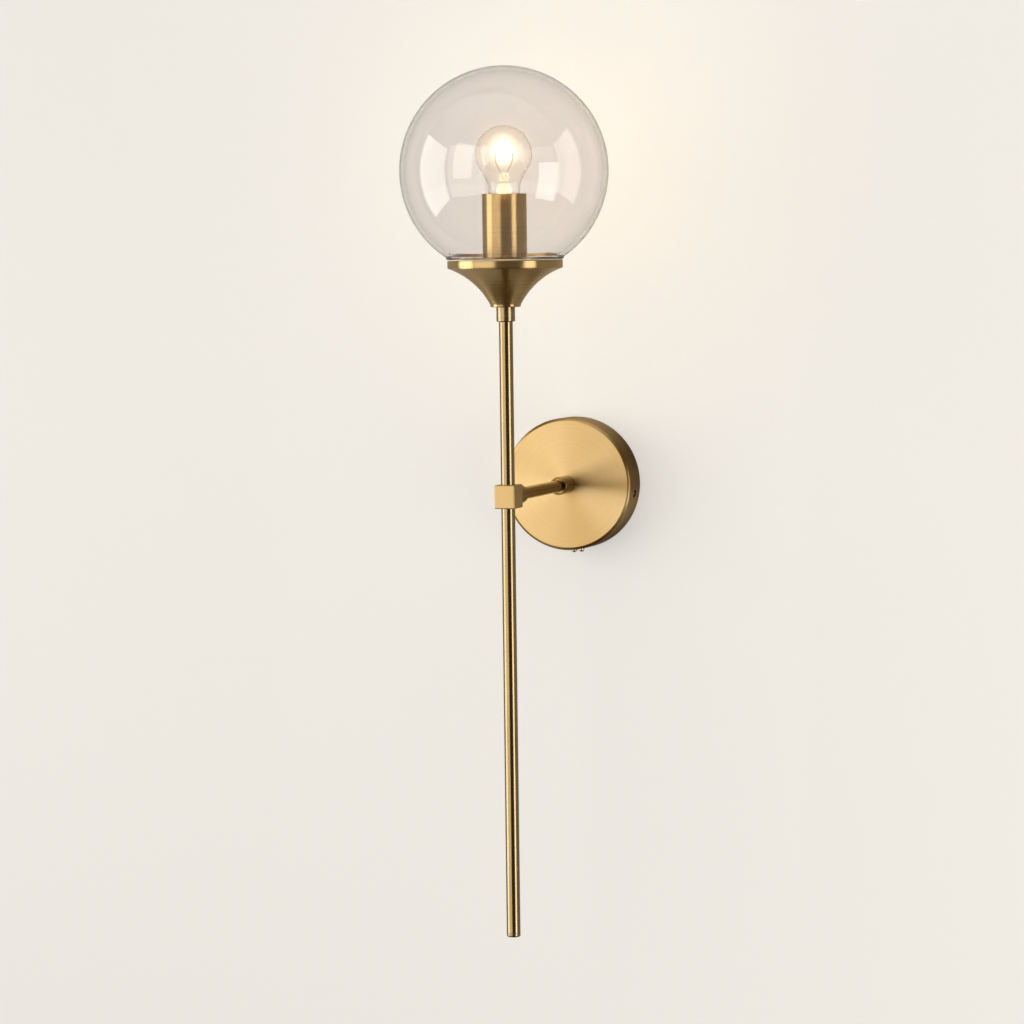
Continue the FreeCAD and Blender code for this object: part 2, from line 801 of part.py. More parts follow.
def makePipeFittings():
    """The hollow threaded tube through the canopy, with what is screwed and clamped on it."""
    pipe = ring("CanopyNipple", "pipeBore", "pipeRadius",
                "pipeMouth", "canopyDepth + collarThread - 0.5")
    finish(onArmAxis(pipe), "canopy_nipple")
    washerLow = "canopyFloor - pipeWasherSheet"
    washer = ring("CanopyWasher", "pipeHole", "pipeWasherRadius", washerLow, "canopyFloor")
    notch = startSketch(washer, "XY_Plane", "NotchOutline")
    drawLoop(notch, rectangle("pipeWasherRadius - 1.4", "-0.4", "pipeWasherRadius + 1", "0.4"))
    cut = pocketed(washer, notch, "Notch")
    repeated(washer, [cut], "12", "Notches")
    finish(onArmAxis(washer), "canopy_lock_washer")
    ringLow = f"{washerLow} - earthWasherSheet"
    nutLow = f"{ringLow} - pipeNutHeight"
    finish(onArmAxis(nut("CanopyNut", "pipeNutFlats", "pipeThread", nutLow, "pipeNutHeight")),
           "canopy_nut")
    makeEarthRing(ringLow)
    bush = turned("NippleBush", [
        ("bushBore", "pipeMouth - bushFlange"),
        ("pipeRadius", "pipeMouth - bushFlange"),
        ("pipeRadius", "pipeMouth"),
        ("pipeBore - threadGap", "pipeMouth"),
        ("pipeBore - threadGap", "pipeMouth + bushSpigot"),
        ("bushBore", "pipeMouth + bushSpigot"),
    ])
    return finish(onArmAxis(bush), "nipple_bush")


def makeEarthRing(low):
    """A ring tag on the nipple, with a tongue that the earth lead is crimped to."""
    body = ring("EarthRing", "pipeHole", "earthRingRadius", low, f"{low} + earthWasherSheet")
    tongue = startSketch(body, "XY_Plane", "TongueOutline")
    tongue.AttachmentOffset = FreeCAD.Placement(Vector(0, 0, 0), Rotation())
    drive(tongue, "AttachmentOffset.Base.z", low)
    drawLoop(tongue, rectangle("-2", "-(earthRingRadius + earthTongue)", "2", "-(earthRingRadius - 1)"))
    pad = body.newObject("PartDesign::Pad", "Tongue")
    pad.Profile = (tongue, [""])
    drive(pad, "Length", "earthWasherSheet")
    document.recompute()
    return finish(onArmAxis(body), "earth_ring")


# Arm and rod block

def makeArm():
    grooveTop = "collarFront - collarGrooveSet"
    grooveLow = f"{grooveTop} - collarGrooveWidth"
    recessLow = "collarFront - collarRecessDepth"
    collar = turned("ArmCollar", [
        ("pipeThread", "canopyDepth"),
        ("collarRadius", "canopyDepth"),
        ("collarRadius", grooveLow),
        ("collarRadius - collarGrooveDepth", grooveLow),
        ("collarRadius - collarGrooveDepth", grooveTop),
        ("collarRadius", grooveTop),
        ("collarRadius", "collarFront - collarRound"),
        ("collarRadius - collarRound", "collarFront", "collarRound"),
        ("collarRecess", "collarFront"),
        ("collarRecess", recessLow),
        ("armSeat", recessLow),
        ("armSeat", "armStart"),
        ("armBore", "armStart"),
        ("armBore", "armStart - collarWeb"),
        ("pipeThread", "armStart - collarWeb"),
    ])
    finish(onArmAxis(collar), "arm_collar")
    finish(onArmAxis(ring("ArmTube", "armBore", "armRadius", "armStart", "armEnd")), "arm_tube")
    sleeve = turned("BlockSleeve", [
        ("armSeat", "sleeveStart"),
        ("sleeveRadius - collarRound", "sleeveStart"),
        ("sleeveRadius", "sleeveStart + collarRound", "collarRound"),
        ("sleeveRadius", "blockRear"),
        ("pipeThread", "blockRear"),
        ("pipeThread", "armEnd + sleeveWeb"),
        ("armBore", "armEnd + sleeveWeb"),
        ("armBore", "armEnd"),
        ("armSeat", "armEnd"),
    ])
    finish(onArmAxis(sleeve), "block_sleeve")
    pipe = ring("BlockNipple", "pipeBore", "pipeRadius",
                "armEnd + sleeveWeb", "blockRear + blockThreadDepth")
    return finish(onArmAxis(pipe), "block_nipple")


def makeRodBlock():
    """The square block: rods screw in above and below, and the arm from behind."""
    body = startBody("RodBlock")
    half = "blockWidth / 2"
    outline = rectangle(f"-{half}", "-blockFront", half, "blockBack")
    pad = padded(body, "XY_Plane", outline, "blockHeight", "Square")
    allEdges = [f"Edge{number}" for number in range(1, len(pad.Shape.Edges) + 1)]
    rounded(body, allEdges, "blockRound", "BlockRound")
    top, seat = "blockHeight / 2", "rodSeat"
    grooved(body, "XZ_Plane", [
        ("0", f"-({top})"),
        ("rodRadius + threadGap", f"-({top})"),
        ("rodRadius + threadGap", f"-{seat}"),
        ("studThread", f"-{seat}"),
        ("studThread", "-studFloor"),
        ("blockCore", "-studFloor"),
        ("blockCore", "studFloor"),
        ("studThread", "studFloor"),
        ("studThread", seat),
        ("rodRadius + threadGap", seat),
        ("rodRadius + threadGap", top),
        ("0", top),
    ], "RodBores")
    grooved(body, "XY_Plane", [
        ("0", "0"),
        ("blockCore", "0"),
        ("blockCore", "blockBack - blockThreadDepth"),
        ("pipeThread", "blockBack - blockThreadDepth"),
        ("pipeThread", "blockBack"),
        ("0", "blockBack"),
    ], "ArmBore")
    return finish(onLampAxis(body), "rod_block")


def makeRods():
    finish(onLampAxis(ring("UpperStud", "studBore", "studRadius",
                           "studFloor", "rodSeat + studInRod")), "upper_rod_stud")
    lower = turned("LowerStud", rectangle("0", "-(rodSeat + studInRod)", "studRadius", "-studFloor"))
    finish(onLampAxis(lower), "lower_rod_stud")
    upper = turned("UpperRod", [
        ("studThread", "rodSeat"),
        ("rodRadius", "rodSeat"),
        ("rodRadius", "rodTop"),
        ("studThread", "rodTop"),
        ("studThread", "rodTop - rodThread"),
        ("rodBore", "rodTop - rodThread"),
        ("rodBore", "rodSeat + rodThread"),
        ("studThread", "rodSeat + rodThread"),
    ])
    finish(onLampAxis(upper), "upper_rod")
    end = "-(rodFoot - plugHeight)"
    lowerRod = turned("LowerRod", [
        ("rodBore", end),
        ("rodRadius", end),
        ("rodRadius", "-rodSeat"),
        ("studThread", "-rodSeat"),
        ("studThread", "-(rodSeat + rodThread)"),
        ("rodBore", "-(rodSeat + rodThread)"),
    ])
    finish(onLampAxis(lowerRod), "lower_rod")
    plug = turned("RodPlug", [
        ("0", "-rodFoot"),
        ("rodRadius - plugRound", "-rodFoot"),
        ("rodRadius", "-rodFoot + plugRound", "plugRound"),
        ("rodRadius", end),
        ("rodBore - threadGap", end),
        ("rodBore - threadGap", f"{end} + plugSpigot"),
        ("0", f"{end} + plugSpigot"),
    ])
    return finish(onLampAxis(plug), "rod_plug")


# Cup, glass seat and globe

def makeCup():
    finish(onLampAxis(turned("CupCollar", [
        ("studThread", "rodTop"),
        ("cupCollarRadius - cupCollarChamfer", "rodTop"),
        ("cupCollarRadius", "rodTop + cupCollarChamfer"),
        ("cupCollarRadius", "cupBase"),
        ("studThread", "cupBase"),
    ])), "cup_collar")
    finish(onLampAxis(ring("CupNipple", "studBore", "studRadius", "rodTop - studInRod",
                           "domeBase + nippleInDome")), "cup_nipple")
    rimLow = "cupTop - cupRimBand"
    shoulder = f"{rimLow} - cupRimStep * 0.5"
    cup = turned("FlareCup", [
        ("studHole", "cupBase"),
        ("cupFootRadius - cupFootRound", "cupBase"),
        ("cupFootRadius", "cupBase + cupFootBand", "cupFootRound * 3"),
        ("cupRimRadius - cupRimStep", shoulder, "-cupFlare"),
        ("cupRimRadius", f"{rimLow} + cupRimStep * 0.5", "cupRimStep * 1.2"),
        ("cupRimRadius", "cupTop - cupRimRound"),
        ("cupRimRadius - cupRimRound", "cupTop", "cupRimRound"),
        ("cupRimRadius - cupSheet", "cupTop"),
        ("cupRimRadius - cupSheet", f"{rimLow} + cupSheet"),
        ("cupFootRadius - cupSheet * 0.5", "cupBase + cupFootBand + cupSheet * 1.2",
         "cupFlare + cupSheet"),
        ("cupFootRadius - cupSheet", "cupBase + cupSheet"),
        ("studHole", "cupBase + cupSheet"),
    ])
    finish(onLampAxis(cup), "flare_cup")
    floor = "cupBase + cupSheet"
    finish(onLampAxis(ring("CupWasher", "studHole", "cupWasherRadius", floor,
                           f"{floor} + cupWasherSheet")), "cup_washer")
    finish(onLampAxis(nut("CupNut", "studNutFlats", "studThread", f"{floor} + cupWasherSheet",
                          "studNutHeight")), "cup_nut")
    plateNut = nut("PlateNut", "studNutFlats", "studThread",
                   "cupTop - plateSheet - studNutHeight", "studNutHeight")
    return finish(onLampAxis(plateNut), "plate_nut")


def makeGlassSeat():
    """The plate in the cup's rim, with the spigot that centres the glass and its clips."""
    spigotTop = "cupTop + spigotHeight"
    plate = turned("SeatPlate", [
        ("studHole", "cupTop - plateSheet"),
        ("plateRadius", "cupTop - plateSheet"),
        ("plateRadius", "cupTop"),
        ("spigotRadius", "cupTop"),
        ("spigotRadius", spigotTop),
        ("spigotRadius - spigotWall", spigotTop),
        ("spigotRadius - spigotWall", "cupTop"),
        ("studHole", "cupTop"),
    ])
    window = startSketch(plate, "YZ_Plane", "WindowOutline")
    halfWindow = "(clipWidth / 2 + passGap)"
    drawLoop(window, rectangle(f"-{halfWindow}", "cupTop + clipSheet", halfWindow,
                               f"{spigotTop} + 1"))
    openings = [pocketed(plate, window, "Window", oneWay=True, reverse=True)]
    rivetHole = startSketch(plate, "XY_Plane", "RivetHoleCentre")
    drawCircle(rivetHole, clipMiddle(), "0", "rivetRadius + threadGap")
    openings.append(pocketed(plate, rivetHole, "RivetHole"))
    repeated(plate, openings, "clipCount", "ClipPlaces")
    finish(onLampAxis(plate), "seat_plate")
    gasket = ring("GlassGasket", "spigotRadius + passGap", "spigotRadius + passGap + gasketWidth",
                  "cupTop", "mouth")
    finish(onLampAxis(gasket), "glass_gasket")
    makeClips()


def clipFace():
    """Distance of the clip's flat upright leg from the axis, just inside the round spigot."""
    return "(sqrt((spigotRadius - spigotWall) ^ 2 - (clipWidth / 2) ^ 2) - passGap)"


def clipMiddle():
    """Radius of the rivet through the clip's foot."""
    return f"({clipFace()} - clipFoot / 2)"


def makeClips():
    """Spring clips that reach out through the spigot's windows to grip the glass."""
    body = startBody("SpringClips")
    face, tip = clipFace(), "neckInside - clipGlassGap"
    top = "cupTop + clipRise"
    section = [
        (f"{face} - clipFoot", "cupTop"),
        (face, "cupTop"),
        (face, f"{top} - clipSheet * 2"),
        (tip, f"{top} - clipSheet"),
        (tip, top),
        (f"{face} - clipSheet", top),
        (f"{face} - clipSheet", "cupTop + clipSheet"),
        (f"{face} - clipFoot", "cupTop + clipSheet"),
    ]
    clip = padded(body, "XZ_Plane", section, "clipWidth", "Clip")
    hole = startSketch(body, "XY_Plane", "ClipHoleCentre")
    drawCircle(hole, clipMiddle(), "0", "rivetRadius + threadGap")
    drill = pocketed(body, hole, "ClipHole")
    repeated(body, [clip, drill], "clipCount", "Clips")
    finish(onLampAxis(body), "spring_clips")
    rivet = pin("ClipRivet", "rivetRadius", "plateSheet + clipSheet + 0.4",
                      "rivetHeadRadius", "rivetHeadHeight")
    count = int(size("clipCount"))
    spots = []
    for number in range(count):
        around = Rotation(zAxis, 360 * number / count)
        where = around.multVec(Vector(size(clipMiddle()), 0, size("cupTop + clipSheet")))
        spots.append(FreeCAD.Placement(where, around))
    return finish(onLampAxis(copies("ClipRivets", rivet, spots)), "clip_rivets")


def pin(name, shank, length, head, headHeight):
    """A plain domed pin: the head stands on z = 0 and the shank goes down."""
    return turned(name, [
        ("0", f"-({length})"),
        (shank, f"-({length})"),
        (shank, "0"),
        (head, "0"),
        ("0", headHeight, domeRadius(head, headHeight)),
    ])


def makeGlobe():
    body = turned("GlassGlobe", [
        ("neckInside", "mouth"),
        ("neckRadius", "mouth"),
        ("neckRadius", "neckTop"),
        ("0", "globeCentre + globeRadius", "globeRadius"),
        ("0", "globeCentre + globeInside"),
        ("neckInside", "neckInsideTop", "-globeInside"),
    ])
    lips = [("neckInside", "mouth"), ("neckRadius", "mouth")]
    rounded(body, ringEdges(body.Tip, lips), "mouthRound", "MouthRound")
    necks = [("neckRadius", "neckTop"), ("neckInside", "neckInsideTop")]
    rounded(body, ringEdges(body.Tip, necks), "neckRound", "NeckRound")
    return finish(onLampAxis(body), "glass_globe")


# Lamp holder

def makeHolder():
    finish(onLampAxis(turned("HolderCover", [
        ("studHole", "cupTop"),
        ("coverRadius", "cupTop"),
        ("coverRadius", "cupTop + coverHeight"),
        ("coverRadius - coverWall", "cupTop + coverHeight"),
        ("coverRadius - coverWall", "cupTop + coverFloor"),
        ("studHole", "cupTop + coverFloor"),
    ])), "holder_cover")
    inside = "holderRadius - holderWall"
    finish(onLampAxis(turned("HolderDome", [
        ("studThread", "domeBase"),
        ("holderRadius", "domeBase"),
        ("holderRadius", "domeTop"),
        (inside, "domeTop"),
        (inside, "coreBase"),
        (f"{inside} - domeLedge", "coreBase"),
        (f"{inside} - domeLedge", "domeBase + domeFloor"),
        ("domeBossRadius", "domeBase + domeFloor"),
        ("domeBossRadius", "domeBase + domeBossHeight"),
        ("studThread", "domeBase + domeBossHeight"),
    ])), "holder_dome")
    makeCore(f"{inside} - coreGap")
    finish(onLampAxis(turned("HolderSleeve", [
        (inside, "domeTop"),
        ("holderRadius", "domeTop"),
        ("holderRadius", "sleeveTop"),
        ("coreTubeRadius + coreGap", "sleeveTop"),
        ("coreTubeRadius + coreGap", "sleeveTop - sleeveTopSheet"),
        (inside, "sleeveTop - sleeveTopSheet"),
    ])), "holder_sleeve")
    finish(onLampAxis(turned("ThreadedShell", [
        ("shellOutside - shellLip", "coreTop + shellFloor"),
        ("shellOutside", "coreTop + shellFloor"),
        ("shellOutside", "sleeveTop - sleeveTopSheet"),
        ("shellInside", "sleeveTop - sleeveTopSheet"),
        ("shellInside", "coreTop + shellFloor + shellWall"),
        ("shellOutside - shellLip", "coreTop + shellFloor + shellWall"),
    ])), "threaded_shell")
    makeCentreContact()
    return makeHolderScrews()


def makeCore(radius):
    """The ceramic core carries the contacts, and its tube holds the threaded shell."""
    shellSeat = "shellOutside + threadGap"
    body = turned("HolderCore", [
        ("0", "coreBase"),
        (radius, "coreBase"),
        (radius, "coreTop"),
        ("coreTubeRadius", "coreTop"),
        ("coreTubeRadius", "sleeveTop - sleeveTopSheet / 2"),
        (shellSeat, "sleeveTop - sleeveTopSheet / 2"),
        (shellSeat, "coreTop + shellFloor"),
        ("shellOutside - shellLip", "coreTop + shellFloor"),
        ("shellOutside - shellLip", "coreTop"),
        ("0", "coreTop"),
    ])
    holes = []
    for way in ("", "-"):
        holes.append((f"{way}leadHoleSpread", "0", "leadHoleRadius"))
        holes.append((f"{way}holderScrewSpread", "0", "holderScrewRadius + threadGap"))
    sketch = startSketch(body, "XY_Plane", "CoreHoleCentres")
    sketch.AttachmentOffset = FreeCAD.Placement(Vector(0, 0, 0), Rotation())
    drive(sketch, "AttachmentOffset.Base.z", "coreBase")
    for hole in holes:
        drawCircle(sketch, *hole)
    pocketed(body, sketch, "CoreHoles", oneWay=True, reverse=True, length="coreFloor - 1")
    return finish(onLampAxis(body), "holder_core")


def makeCentreContact():
    """A bent strip that presses on the tip of the bulb's cap."""
    body = startBody("CentreContact")
    top = "capTip - contactGap"
    low, sheet = "coreTop", "contactSheet"
    section = [
        ("-4.5", low),
        ("4.5", low),
        ("4.5", f"{low} + {sheet}"),
        ("-4", f"{low} + {sheet}"),
        ("-1", f"{top} - {sheet}"),
        ("2.5", f"{top} - {sheet}"),
        ("2.5", top),
        ("-1.3", top),
        ("-4.5", f"{low} + {sheet}"),
    ]
    padded(body, "XZ_Plane", section, "contactWidth", "Strip")
    return finish(onLampAxis(body), "centre_contact")


def makeHolderScrews():
    one = screw("HolderScrew", "holderScrewRadius", "coreFloor - 1.5",
                "holderHeadRadius", "holderHeadHeight")
    spots = []
    for way in (-1, 1):
        where = Vector(way * size("holderScrewSpread"), 0, size("coreBase"))
        spots.append(FreeCAD.Placement(where, Rotation(xAxis, 180)))
    return finish(onLampAxis(copies("HolderScrews", one, spots)), "holder_terminal_screws")


# Bulb

def makeBulbGlass():
    """A golf-ball envelope: ball, short neck and the waist that sits in the cap."""
    joinRadius = "bulbRadius * 0.78"
    join = f"bulbCentre - sqrt(bulbRadius ^ 2 - ({joinRadius}) ^ 2)"
    innerJoin = f"bulbCentre - sqrt((bulbRadius - bulbWall) ^ 2 - ({joinRadius} - bulbWall) ^ 2)"
    waistTop = "capTop + 1"
    body = turned("BulbGlass", [
        ("bulbWaistRadius - bulbWall", "capTop - capFlareHeight / 2 + passGap"),
        ("bulbWaistRadius", "capTop - capFlareHeight / 2 + passGap"),
        ("bulbWaistRadius", waistTop),
        ("bulbNeckRadius", f"{waistTop} + 5.5", "7"),
        ("bulbNeckRadius", "bulbNeckTop"),
        (joinRadius, join, "-12"),
        ("0", "bulbTop", "bulbRadius"),
        ("0", "bulbTop - bulbWall"),
        (f"{joinRadius} - bulbWall", innerJoin, "-(bulbRadius - bulbWall)"),
        ("bulbNeckRadius - bulbWall", "bulbNeckTop", "12"),
        ("bulbNeckRadius - bulbWall", f"{waistTop} + 5.5"),
        ("bulbWaistRadius - bulbWall", waistTop, "-7"),
    ])
    return finish(onLampAxis(body), "bulb_glass")


def makeBulbCap():
    """The screw cap: a grooved shell, its insulator and the contact at its tip."""
    flareLow = "capTop - capFlareHeight"
    body = turned("BulbCap", [
        ("capRadius - capGrooveDepth - capWall", "capShellStart"),
        ("capRadius", "capShellStart"),
        ("capRadius", flareLow),
        ("capFlareRadius", f"{flareLow} + capFlareHeight / 2"),
        ("capFlareRadius", "capTop"),
        ("capFlareRadius - capWall", "capTop"),
        ("capFlareRadius - capWall", f"{flareLow} + capFlareHeight / 2"),
        ("capRadius - capGrooveDepth - capWall", flareLow),
    ])
    turns = int(size("(capLength - capTipHeight - capConeHeight - capFlareHeight) / threadPitch"))
    for number in range(turns):
        low = f"capShellStart + {number + 0.3} * threadPitch"
        grooved(body, "XZ_Plane", [
            ("capRadius - capGrooveDepth", f"{low} + threadPitch * 0.2"),
            ("capRadius + 1", f"{low} - threadPitch * 0.1"),
            ("capRadius + 1", f"{low} + threadPitch * 0.5"),
        ], f"CapThread{number + 1}")
    finish(onLampAxis(body), "bulb_cap")
    plugRadius = "capRadius - capGrooveDepth - capWall"
    finish(onLampAxis(turned("CapInsulator", [
        ("capTipPin + threadGap", "capStart"),
        ("capConeRadius", "capStart"),
        ("capRadius - capWall", "capShellStart"),
        (plugRadius, "capShellStart"),
        (plugRadius, "capShellStart + 2"),
        ("capTipPin + threadGap", "capShellStart + 2"),
    ])), "cap_insulator")
    return finish(onLampAxis(turned("CapContact", [
        ("0", "capTip"),
        ("capTipRadius", "capStart - threadGap", "capTipRadius * 1.5"),
        ("capTipPin", "capStart - threadGap"),
        ("capTipPin", "capShellStart"),
        ("0", "capShellStart"),
    ])), "cap_contact")


def makeBulbMount():
    """The glass stem, its two wires and the arched filament between them."""
    flareRadius = "bulbWaistRadius - bulbWall - passGap"
    finish(onLampAxis(turned("BulbStem", [
        ("0", "capTop - 1"),
        (flareRadius, "capTop - 1"),
        (flareRadius, "capTop"),
        ("stemRadius", "capTop + 5"),
        ("stemRadius", "stemTop"),
        ("0", "stemTop"),
    ])), "bulb_stem")
    spread, high = size("filamentSpread"), size("filamentHeight")
    foot, arch = size("stemTop"), size("filamentArch")
    inset = size("stemRadius * 0.6")
    wires = []
    for way in (-1, 1):
        low, middle = foot + (high - foot) * 0.16, foot + (high - foot) * 0.64
        bend = (high - foot) * 0.3
        route = [Vector(way * inset, 0, foot), Vector(way * inset, 0, low),
                 Vector(way * spread, 0, middle), Vector(way * spread, 0, high - 0.1)]
        wires.append(tube(route, [bend, bend], size("supportWireRadius")))
    finish(onLampAxis(solidFeature("SupportWires", Part.makeCompound(wires))), "support_wires")
    route = Part.Arc(Vector(-spread, 0, high), Vector(0, 0, high + arch), Vector(spread, 0, high))
    path = Part.Wire([route.toShape()])
    filament = sweepRound(path, size("filamentRadius"))
    return finish(onLampAxis(solidFeature("Filament", filament)), "filament")


# Leads, and round bars that follow a route

def solidFeature(name, shape):
    item = document.addObject("Part::Feature", name)
    item.Shape = shape
    return item


def sweepRound(path, radius):
    """A round bar along a path of lines and arcs."""
    edge = path.OrderedEdges[0]
    start, along = edge.valueAt(edge.FirstParameter), edge.tangentAt(edge.FirstParameter)
    section = Part.Wire([Part.makeCircle(radius, start, along)])
    return path.makePipeShell([section], True, True)


def tube(points, bends, radius):
    """A round bar through straight runs, with an arc of the given radius at each bend."""
    edges, here = [], points[0]
    for before, corner, after, bend in zip(points, points[1:], points[2:], bends):
        back, on = (before - corner).normalize(), (after - corner).normalize()
        turn = back.getAngle(on)
        inset = bend / tan(turn / 2)
        first, last = corner + back * inset, corner + on * inset
        middleWay = (back + on).normalize()
        centre = corner + middleWay * (inset ** 2 + bend ** 2) ** 0.5
        middle = centre - middleWay * bend
        edges.append(Part.LineSegment(here, first).toShape())
        edges.append(Part.Arc(first, middle, last).toShape())
        here = last
    edges.append(Part.LineSegment(here, points[-1]).toShape())
    path = Part.Wire(edges)
    bar = sweepRound(path, radius)
    expected = pi * radius ** 2 * path.Length
    if abs(bar.Volume - expected) > expected * 0.005:
        raise ValueError("a swept bar has the wrong volume")
    return bar


def fromBlock(side, pole, outside):
    """Where a lead leaves the terminal block: a point under the screw and one outside."""
    around = aroundArm(size("-footTurn"))
    depth = -size(f"{terminalBack()} + terminalDepth / 2")
    height = size(f"{terminalLow()} + {pole} * terminalPitch")
    under = side * size("terminalLength / 4 - 2")
    beyond = side * (size("terminalLength / 2") + outside)
    return [around.multVec(Vector(across, depth, height)) for across in (under, beyond)]


def makeLeads():
    """Live and neutral, from the terminal block through arm, block and rod to the holder."""
    radius, reach, drop = size("leadRadius"), size("armReach"), size("leadDrop")
    turnedAt = -(reach + size("leadSet"))
    behindMouth = -size("pipeMouth - bushFlange") + size("leadMouthBend") + 0.5
    leaveNipple = size("domeBase + nippleInDome")
    spread = size("leadHoleSpread")
    for name, side, pole in (("live", -1, 0.5), ("neutral", 1, 2.5)):
        across = side * size("leadPitch / 2")
        points = fromBlock(side, pole, size(f"{name}Out")) + [
            Vector(side * size(f"{name}Swing"), behindMouth, -size(f"{name}Rise")),
            Vector(across, behindMouth, -drop),
            Vector(across, turnedAt, -drop),
            Vector(across, turnedAt, leaveNipple + radius / 3),
            Vector(side * spread, -reach, leaveNipple + radius * 5),
            Vector(side * spread, -reach, size("coreBase + 2")),
        ]
        bends = [size(f"{name}FirstBend"), size(f"{name}SecondBend"), size("leadMouthBend"),
                 size("leadBend"), size("leadTopBend"), size("leadTopBend * 0.4")]
        finish(solidFeature(f"{name}_lead", tube(points, bends, radius)), f"{name}_lead")
        print(f"{name}_lead bend radii", bends)
    return makeEarthLead(radius)


def makeEarthLead(radius):
    """From the middle pole up to the tongue of the ring on the nipple."""
    leave, outside = fromBlock(-1, 1.5, size("earthOut"))
    depth = -size("canopyFloor - pipeWasherSheet - earthWasherSheet") + radius
    tongue = -size("earthRingRadius + earthTongue")
    points = [
        leave,
        outside,
        Vector(outside.x - radius, depth + radius, tongue),
        Vector(0, depth, tongue + radius / 2),
        Vector(0, depth, tongue + size("earthTongue / 2")),
    ]
    bends = [size("earthBend"), size("earthBend"), size("earthEndBend")]
    print("earth_lead bend radii", bends)
    return finish(solidFeature("earth_lead", tube(points, bends, radius)), "earth_lead")


def writeParts():
    os.makedirs("parts", exist_ok=True)
    document.recompute()
    for item in document.Objects:
        if "Invalid" in item.State or "Error" in item.State:
            raise ValueError(f"{item.Label} has failed: {item.State}")
    for item in finished:
        if item.Shape.isNull() or not item.Shape.isValid():
            raise ValueError(f"{item.Label} has no valid shape")
    for item in finished:
        item.Shape.exportStep(f"parts/{item.Label}.step")
        print(item.Label, len(item.Shape.Solids), round(item.Shape.Volume, 1))


fillSheet()
makeBracket()
makeCanopy()
makeSideScrews()
makeFootScrews()
makeTerminalCarrier()
makeTerminalBlock()
makeTerminalScrews()
makeFixingScrew()
makeEarthPoint()
makePipeFittings()
makeArm()
makeRodBlock()
makeRods()
makeCup()
makeGlassSeat()
makeGlobe()
makeHolder()
makeBulbGlass()
makeBulbCap()
makeBulbMount()
makeLeads()
writeParts()
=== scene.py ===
import json
from math import acos, asin, cos, degrees, exp, pi, radians, sin, sqrt, tan

import bmesh
import bpy
from mathutils import Matrix, Vector


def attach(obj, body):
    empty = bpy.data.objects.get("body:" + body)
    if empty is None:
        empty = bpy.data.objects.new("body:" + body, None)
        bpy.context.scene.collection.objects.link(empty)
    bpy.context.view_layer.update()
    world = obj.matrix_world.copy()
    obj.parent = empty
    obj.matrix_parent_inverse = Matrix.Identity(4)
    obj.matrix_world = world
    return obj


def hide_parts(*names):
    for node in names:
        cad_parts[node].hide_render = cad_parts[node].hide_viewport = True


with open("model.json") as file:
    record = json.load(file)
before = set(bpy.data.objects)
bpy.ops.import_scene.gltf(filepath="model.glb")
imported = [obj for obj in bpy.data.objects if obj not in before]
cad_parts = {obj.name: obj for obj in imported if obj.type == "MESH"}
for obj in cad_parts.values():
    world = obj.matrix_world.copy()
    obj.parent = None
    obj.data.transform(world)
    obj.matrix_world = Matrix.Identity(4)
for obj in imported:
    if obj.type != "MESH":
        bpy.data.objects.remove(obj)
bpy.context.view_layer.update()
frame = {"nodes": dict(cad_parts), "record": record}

# Globe wall sconce: pieces are drawn in millimetres and put in place in metres.
mm = 0.001
armReach = 158  # from the wall to the rod's axis
seatTop = 170  # where the cup ends, and glass, clips and lamp holder stand
onLamp = Matrix.Translation((0, -armReach * mm, 0))  # local Z is the rod's axis
onArm = Matrix.Rotation(pi / 2, 4, "X")  # local Z is the way out from the wall
scene = bpy.context.scene
nodeSlots = {part["node"]: part["material_slot"] for part in frame["record"]["subparts"]}


class Flow:  # one socket, so that shader and geometry maths can be written as sums
    def __init__(self, graph, socket):
        self.graph = graph
        self.socket = socket

    def maths(self, operation, *others):
        return self.graph.maths(operation, self, *others)

    def __add__(self, other):
        return self.maths("ADD", other)

    def __sub__(self, other):
        return self.maths("SUBTRACT", other)

    def __rsub__(self, other):
        return self.graph.maths("SUBTRACT", other, self)

    def __mul__(self, other):
        return self.maths("MULTIPLY", other)

    def __truediv__(self, other):
        return self.maths("DIVIDE", other)

    def __pow__(self, other):
        return self.maths("POWER", other)

    __radd__ = __add__
    __rmul__ = __mul__


